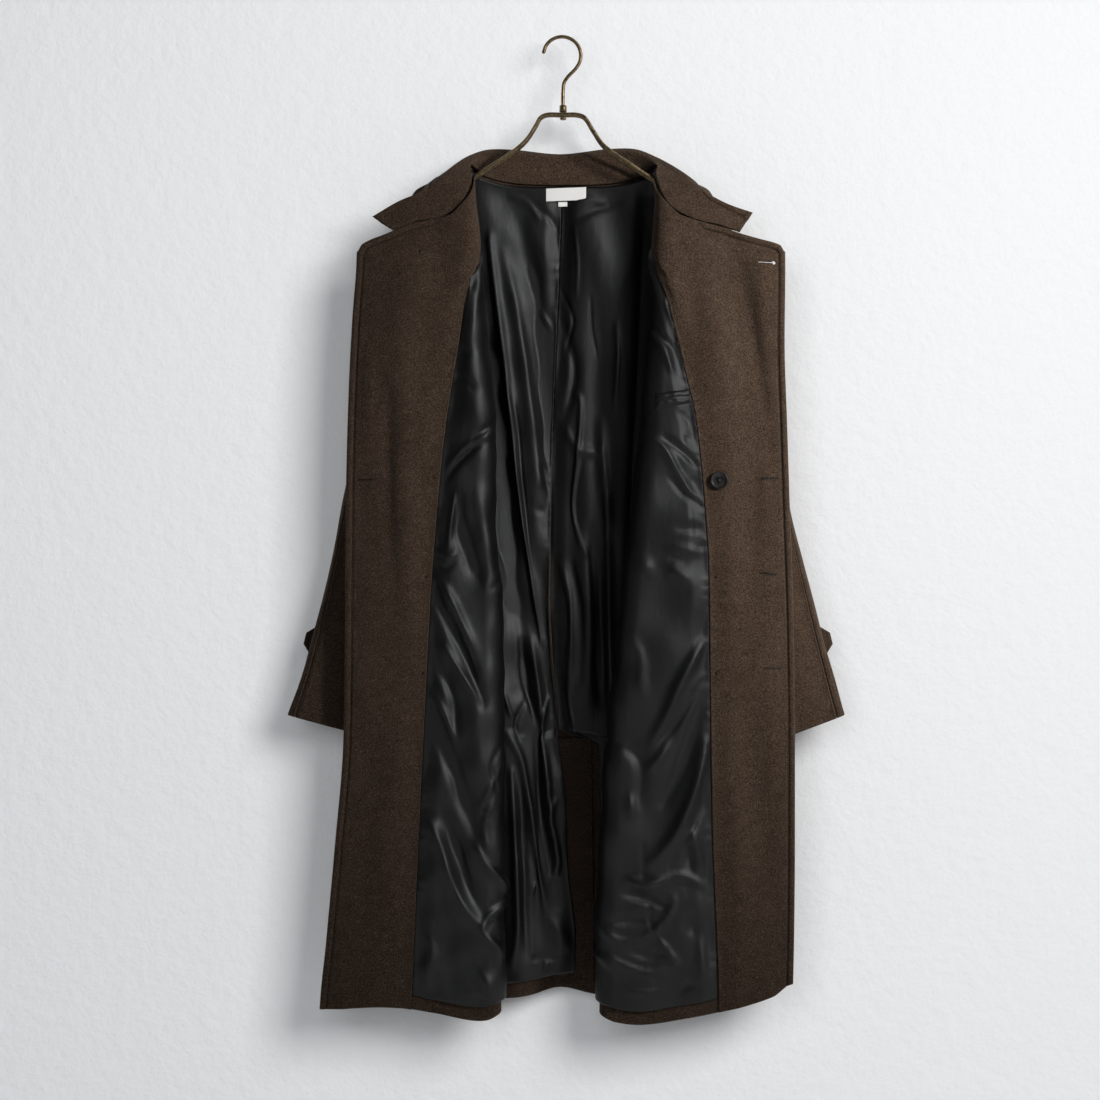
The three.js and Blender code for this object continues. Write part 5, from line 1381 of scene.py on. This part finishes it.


# Sewn buttonholes and thread bars, as they show on the facing, with dark satin tubes painted as the shade in the
# slits
holes = (
    ("right", (254.5, -573.7), (273.5, -573.4), True), ("right", (252, -694), (272, -696), True),
    ("right", (257, -815), (277, -816), True), ("left", (-259, -575.6), (-239.5, -575.9), False),
)
lapelHole = {"from": (251.0, -297.2), "to": (268.5, -298.0), "eye": (270.0, -298.1), "slit": 2.0,
             "eyeRadius": 2.5}


def holePath(name, start, end, offset, rise, count=16):
    x = np.linspace(start[0], end[0], count)
    z = np.linspace(start[1], end[1], count) + offset
    return np.array([seatOn("facing_" + name, a, b, rise)[0] for a, b in zip(x, z)])


def eyePath(name, eye, radius, opening, rise):
    turn = np.linspace(-opening, opening, 22)
    return np.array([seatOn("facing_" + name, eye[0] + radius * math.cos(t), eye[1] + radius * math.sin(t), rise)[0]
                     for t in turn])


def makeHole(index, name, start, end, keyhole):
    meshes = [tubeMesh(holePath(name, start, end, offset, 0.05), 0.6, 8) for offset in (-1.5, 1.5)]
    if keyhole:
        meshes.append(tubeMesh(eyePath(name, end, 2.1, 2.7, 0.05), 0.6, 8))
    bar = np.array([seatOn("facing_" + name, start[0], start[1] + e, 0.1)[0]
                    for e in np.linspace(-1.7, 1.7, 7)])
    meshes.append(tubeMesh(bar, 0.6, 8))
    finishObject("buttonhole %d" % index, joined(meshes), "wool")
    # Painted shade: a black satin tube sunk along each slit, and a wider one in the keyhole's eye, stand for the
    # shade inside the openings
    dark = [tubeMesh(holePath(name, start, end, 0, -0.1), 1.05, 8)]
    if keyhole:
        eyeShade = holePath(name, (end[0] - 0.4, end[1]), (end[0] + 0.6, end[1]), 0, -0.9, 3)
        dark.append(tubeMesh(eyeShade, 1.7, 14))
    finishObject("buttonhole slit %d" % index, joined(dark), "lining")


for index, (name, start, end, keyhole) in enumerate(holes):
    makeHole(index, name, start, end, keyhole)


# The lapel's buttonhole is open, so the wall shows through it
def makeLapelHole():
    h = lapelHole
    half = h["slit"] / 2
    profile = [(h["from"][0] + half * math.cos(t), h["from"][1] + half * math.sin(t))
               for t in np.linspace(math.pi / 2, 3 * math.pi / 2, 8)]
    profile += [(h["eye"][0] + h["eyeRadius"] * math.cos(t), h["eye"][1] + h["eyeRadius"] * math.sin(t))
                for t in np.linspace(-2.7, 2.7, 22)]
    count = len(profile)
    faces = [tuple(range(count)), tuple(range(2 * count - 1, count - 1, -1))]
    faces += [(k, k + count, (k + 1) % count + count, (k + 1) % count) for k in range(count)]
    for piece in (pieces["facing_right"], pieces["front_right"]):
        cutter = bpy.data.meshes.new("slit")
        cutter.from_pydata([(x * 0.001, y, z * 0.001) for y in (-0.078, -0.036) for x, z in profile], [], faces)
        cutWith(piece, bpy.data.objects.new("cutter", cutter))
    meshes = [tubeMesh(holePath("right", h["from"], h["to"], offset, 0.0), 0.6, 8) for offset in (-1.4, 1.4)]
    meshes.append(tubeMesh(eyePath("right", h["eye"], h["eyeRadius"] + 0.4, 2.6, 0.0), 0.6, 8))
    finishObject("lapel buttonhole edge", joined(meshes), "wool")


makeLapelHole()

bars = (("left", (163.5, -573), (160.5, -572.6)), ("left", (173.5, -699), (170, -698.8)),
        ("left", (178, -822), (174.5, -821)), ("left", (181.5, -287.5), (180.5, -284)),
        ("right", (195, -699.5), (198, -699)), ("right", (195.5, -821), (198.5, -822)))
for index, (name, start, end) in enumerate(bars):
    hand = sides[name]["sign"]
    meshes = []
    for shift in (-0.55, 0.55):
        line = [seatOn("facing_" + name, hand * lerp(start[0], end[0], t), lerp(start[1], end[1], t) + shift,
                       0.7 * math.sin(math.pi * t) - 0.1)[0] for t in np.linspace(0, 1, 8)]
        meshes.append(tubeMesh(line, 0.8, 8))
    finishObject("thread bar %d" % index, joined(meshes), "lining")


# Pointed straps on the back of the cuffs, padded and sewn round
strap = {"width": 35, "length": 78, "thick": 3, "past": 14, "point": 10, "turn": 14}
strapPlaces = {"left": (321, -783), "right": (337, -783)}


def makeStrap(name):
    t = strap
    sign = sides[name]["sign"]
    edgeX, edgeZ = strapPlaces[name]
    length = stations(46, 10, 0.09, 6, 0.05)
    width = stations(20, 8, 0.13, 8, 0.13)
    gridS, gridW = np.meshgrid(length, width)
    along = t["past"] - t["length"] * gridS
    half = np.minimum(t["width"] / 2, t["width"] / 2 - t["point"] + (t["past"] - along))
    across = (gridW * 2 - 1) * half
    base = np.stack([along, np.zeros(along.shape), across], -1)
    away = rimDistance(base)
    rounding = np.sqrt(np.maximum(0, 1 - (1 - np.minimum(away / 1.4, 1)) ** 2))
    groove = 0.45 * np.exp(-((away - 5.5) / 1.1) ** 2)
    edge = np.stack([gridArc(base, 1) + gridArc(base, 0), away + 3.2], -1)
    near = base + np.stack([0 * along, t["thick"] / 2 * rounding - groove * rounding, 0 * along], -1)
    far = base - np.stack([0 * along, t["thick"] / 2 * rounding, 0 * along], -1)
    mesh = shellMesh(near, far, np.stack([along, across], -1), edge)
    place = (Matrix.Translation((sign * edgeX * 0.001, (1.5 + t["thick"] / 2) * 0.001, edgeZ * 0.001))
             @ Matrix.Rotation((math.pi if sign < 0 else 0) + math.radians(-sign * t["turn"]), 4, "Y"))
    mesh.transform(place)
    pieces["cuff_tab_" + name] = finishObject("cuff tab " + name, mesh, "wool", ["cuff_tab_" + name])


makeStrap("left")
makeStrap("right")
print("trim made")


# Wall close behind the coat and a pale floor. The wall is clear from behind, so that the back shows.
stage = {"wallY": 0.058, "floorZ": -1.5, "wall": (0.80, 0.81, 0.825), "floor": (0.78, 0.78, 0.78)}


def stageMaterial(name, color, clear):
    material, tree, shader = newMaterial(name, 0.9, color, specular=0.2)
    place = tree.nodes.new("ShaderNodeTexCoord").outputs["Object"]
    broad = noiseNode(tree, place, 9, 4, 0.6)
    height = mathNode(tree, "MULTIPLY_ADD", broad, 0.7, noiseNode(tree, place, 60, 3, 0.6))
    link(tree, bumpNode(tree, height, 0.30, 0.008), shader.inputs["Normal"])
    if clear:
        mix = tree.nodes.new("ShaderNodeMixShader")
        see = tree.nodes.new("ShaderNodeBsdfTransparent")
        side = tree.nodes.new("ShaderNodeNewGeometry")
        out = tree.nodes["Material Output"]
        link(tree, side.outputs["Backfacing"], mix.inputs["Fac"])
        link(tree, shader.outputs["BSDF"], mix.inputs[1])
        link(tree, see.outputs["BSDF"], mix.inputs[2])
        link(tree, mix.outputs["Shader"], out.inputs["Surface"])
    return material


def stagePlane(name, corners, color, clear=False):
    mesh = bpy.data.meshes.new(name)
    mesh.from_pydata(corners, [], [(0, 1, 2, 3)])
    mesh.materials.append(stageMaterial(name, color, clear))
    obj = bpy.data.objects.new(name, mesh)
    bpy.context.scene.collection.objects.link(obj)
    return obj


y, z = stage["wallY"], stage["floorZ"]
wall = stagePlane("wall", [(-4, y, z), (4, y, z), (4, y, 2.5), (-4, y, 2.5)], stage["wall"], True)
wall.visible_shadow = False  # the rear light reaches the coat's back through it
stagePlane("floor", [(-4, -5, z), (4, -5, z), (4, 4, z), (-4, 4, z)], stage["floor"])


# One pair of lights is for the wall alone, the others for the coat: a broad window that shows in the satin,
# and a soft spot from its side that is strongest on the upper right of the wool.
lights = {
    "wall right": {"at": (1.5, -2.9, 0.5), "aim": (0, 0, -0.62), "kind": "AREA", "size": 1.5, "power": 92,
                   "color": (1, 0.99, 0.975), "falls": "wall"},
    "wall left": {"at": (-0.7, -3.9, 0.0), "aim": (0, 0, -0.7), "kind": "AREA", "size": 2.0, "power": 49,
                  "color": (0.96, 0.98, 1), "falls": "wall"},
    "window": {"at": (1.9, -2.4, 0.55), "aim": (0, 0, -0.6), "kind": "AREA", "size": 1.6, "power": 44,
               "color": (0.98, 0.99, 1), "falls": "gloss"},
    "day": {"at": (1.92, -1.8, 0.2), "aim": (0.6, 0, -0.37), "kind": "SPOT", "size": 0.3, "power": 470,
            "cone": 43, "color": (1, 0.985, 0.965), "falls": "cloth"},
    "bounce": {"at": (-0.4, -3.6, -0.6), "aim": (0, 0, -0.8), "kind": "AREA", "size": 2.4, "power": 2.5,
               "color": (1, 0.98, 0.96), "falls": "cloth"},
    "floor": {"at": (0.4, -2.2, 1.8), "aim": (0.2, -1.2, -1.5), "kind": "AREA", "size": 2.0, "power": 40,
              "color": (1, 1, 1), "falls": "floor"},
    "rear": {"at": (0.9, 3.2, 0.4), "aim": (0, 0, -0.7), "kind": "AREA", "size": 2.0, "power": 90,
             "color": (1, 0.99, 0.98), "falls": "cloth"},
}
lit = {kind: bpy.data.collections.new("lit " + kind) for kind in ("wall", "floor", "cloth")}
for obj in bpy.context.scene.objects:
    lit[obj.name if obj.name in lit else "cloth"].objects.link(obj)
for name, light in lights.items():
    data = bpy.data.lights.new(name, light["kind"])
    if light["kind"] == "SPOT":
        data.shadow_soft_size = light["size"]
        data.spot_size = math.radians(light["cone"])
        data.spot_blend = 1
    else:
        data.size = light["size"]
    data.energy = light["power"]
    data.color = light["color"]
    lamp = bpy.data.objects.new(name, data)
    lamp.location = light["at"]
    direction = Vector(light["aim"]) - Vector(light["at"])
    lamp.rotation_euler = direction.to_track_quat("-Z", "Y").to_euler()
    bpy.context.scene.collection.objects.link(lamp)
    lamp.light_linking.receiver_collection = lit["cloth" if light["falls"] == "gloss" else light["falls"]]
    lamp.visible_glossy = light["falls"] == "gloss"
    lamp.visible_diffuse = light["falls"] != "gloss"
world = bpy.data.worlds.new("studio")
world.use_nodes = True
world.node_tree.nodes["Background"].inputs["Color"].default_value = (0.93, 0.95, 1, 1)
world.node_tree.nodes["Background"].inputs["Strength"].default_value = 0.06
bpy.context.scene.world = world

cameraData = bpy.data.cameras.new("camera")
cameraData.lens = 80.56
cameraData.sensor_width = 36
cameraData.sensor_fit = "HORIZONTAL"
camera = bpy.data.objects.new("camera", cameraData)
camera.location = (-0.0156, -3.2, -0.6648)
camera.rotation_euler = (math.radians(90), 0, 0)
bpy.context.scene.collection.objects.link(camera)
bpy.context.scene.camera = camera
bpy.context.scene.view_settings.view_transform = "Standard"
print("stage, lights and camera made")
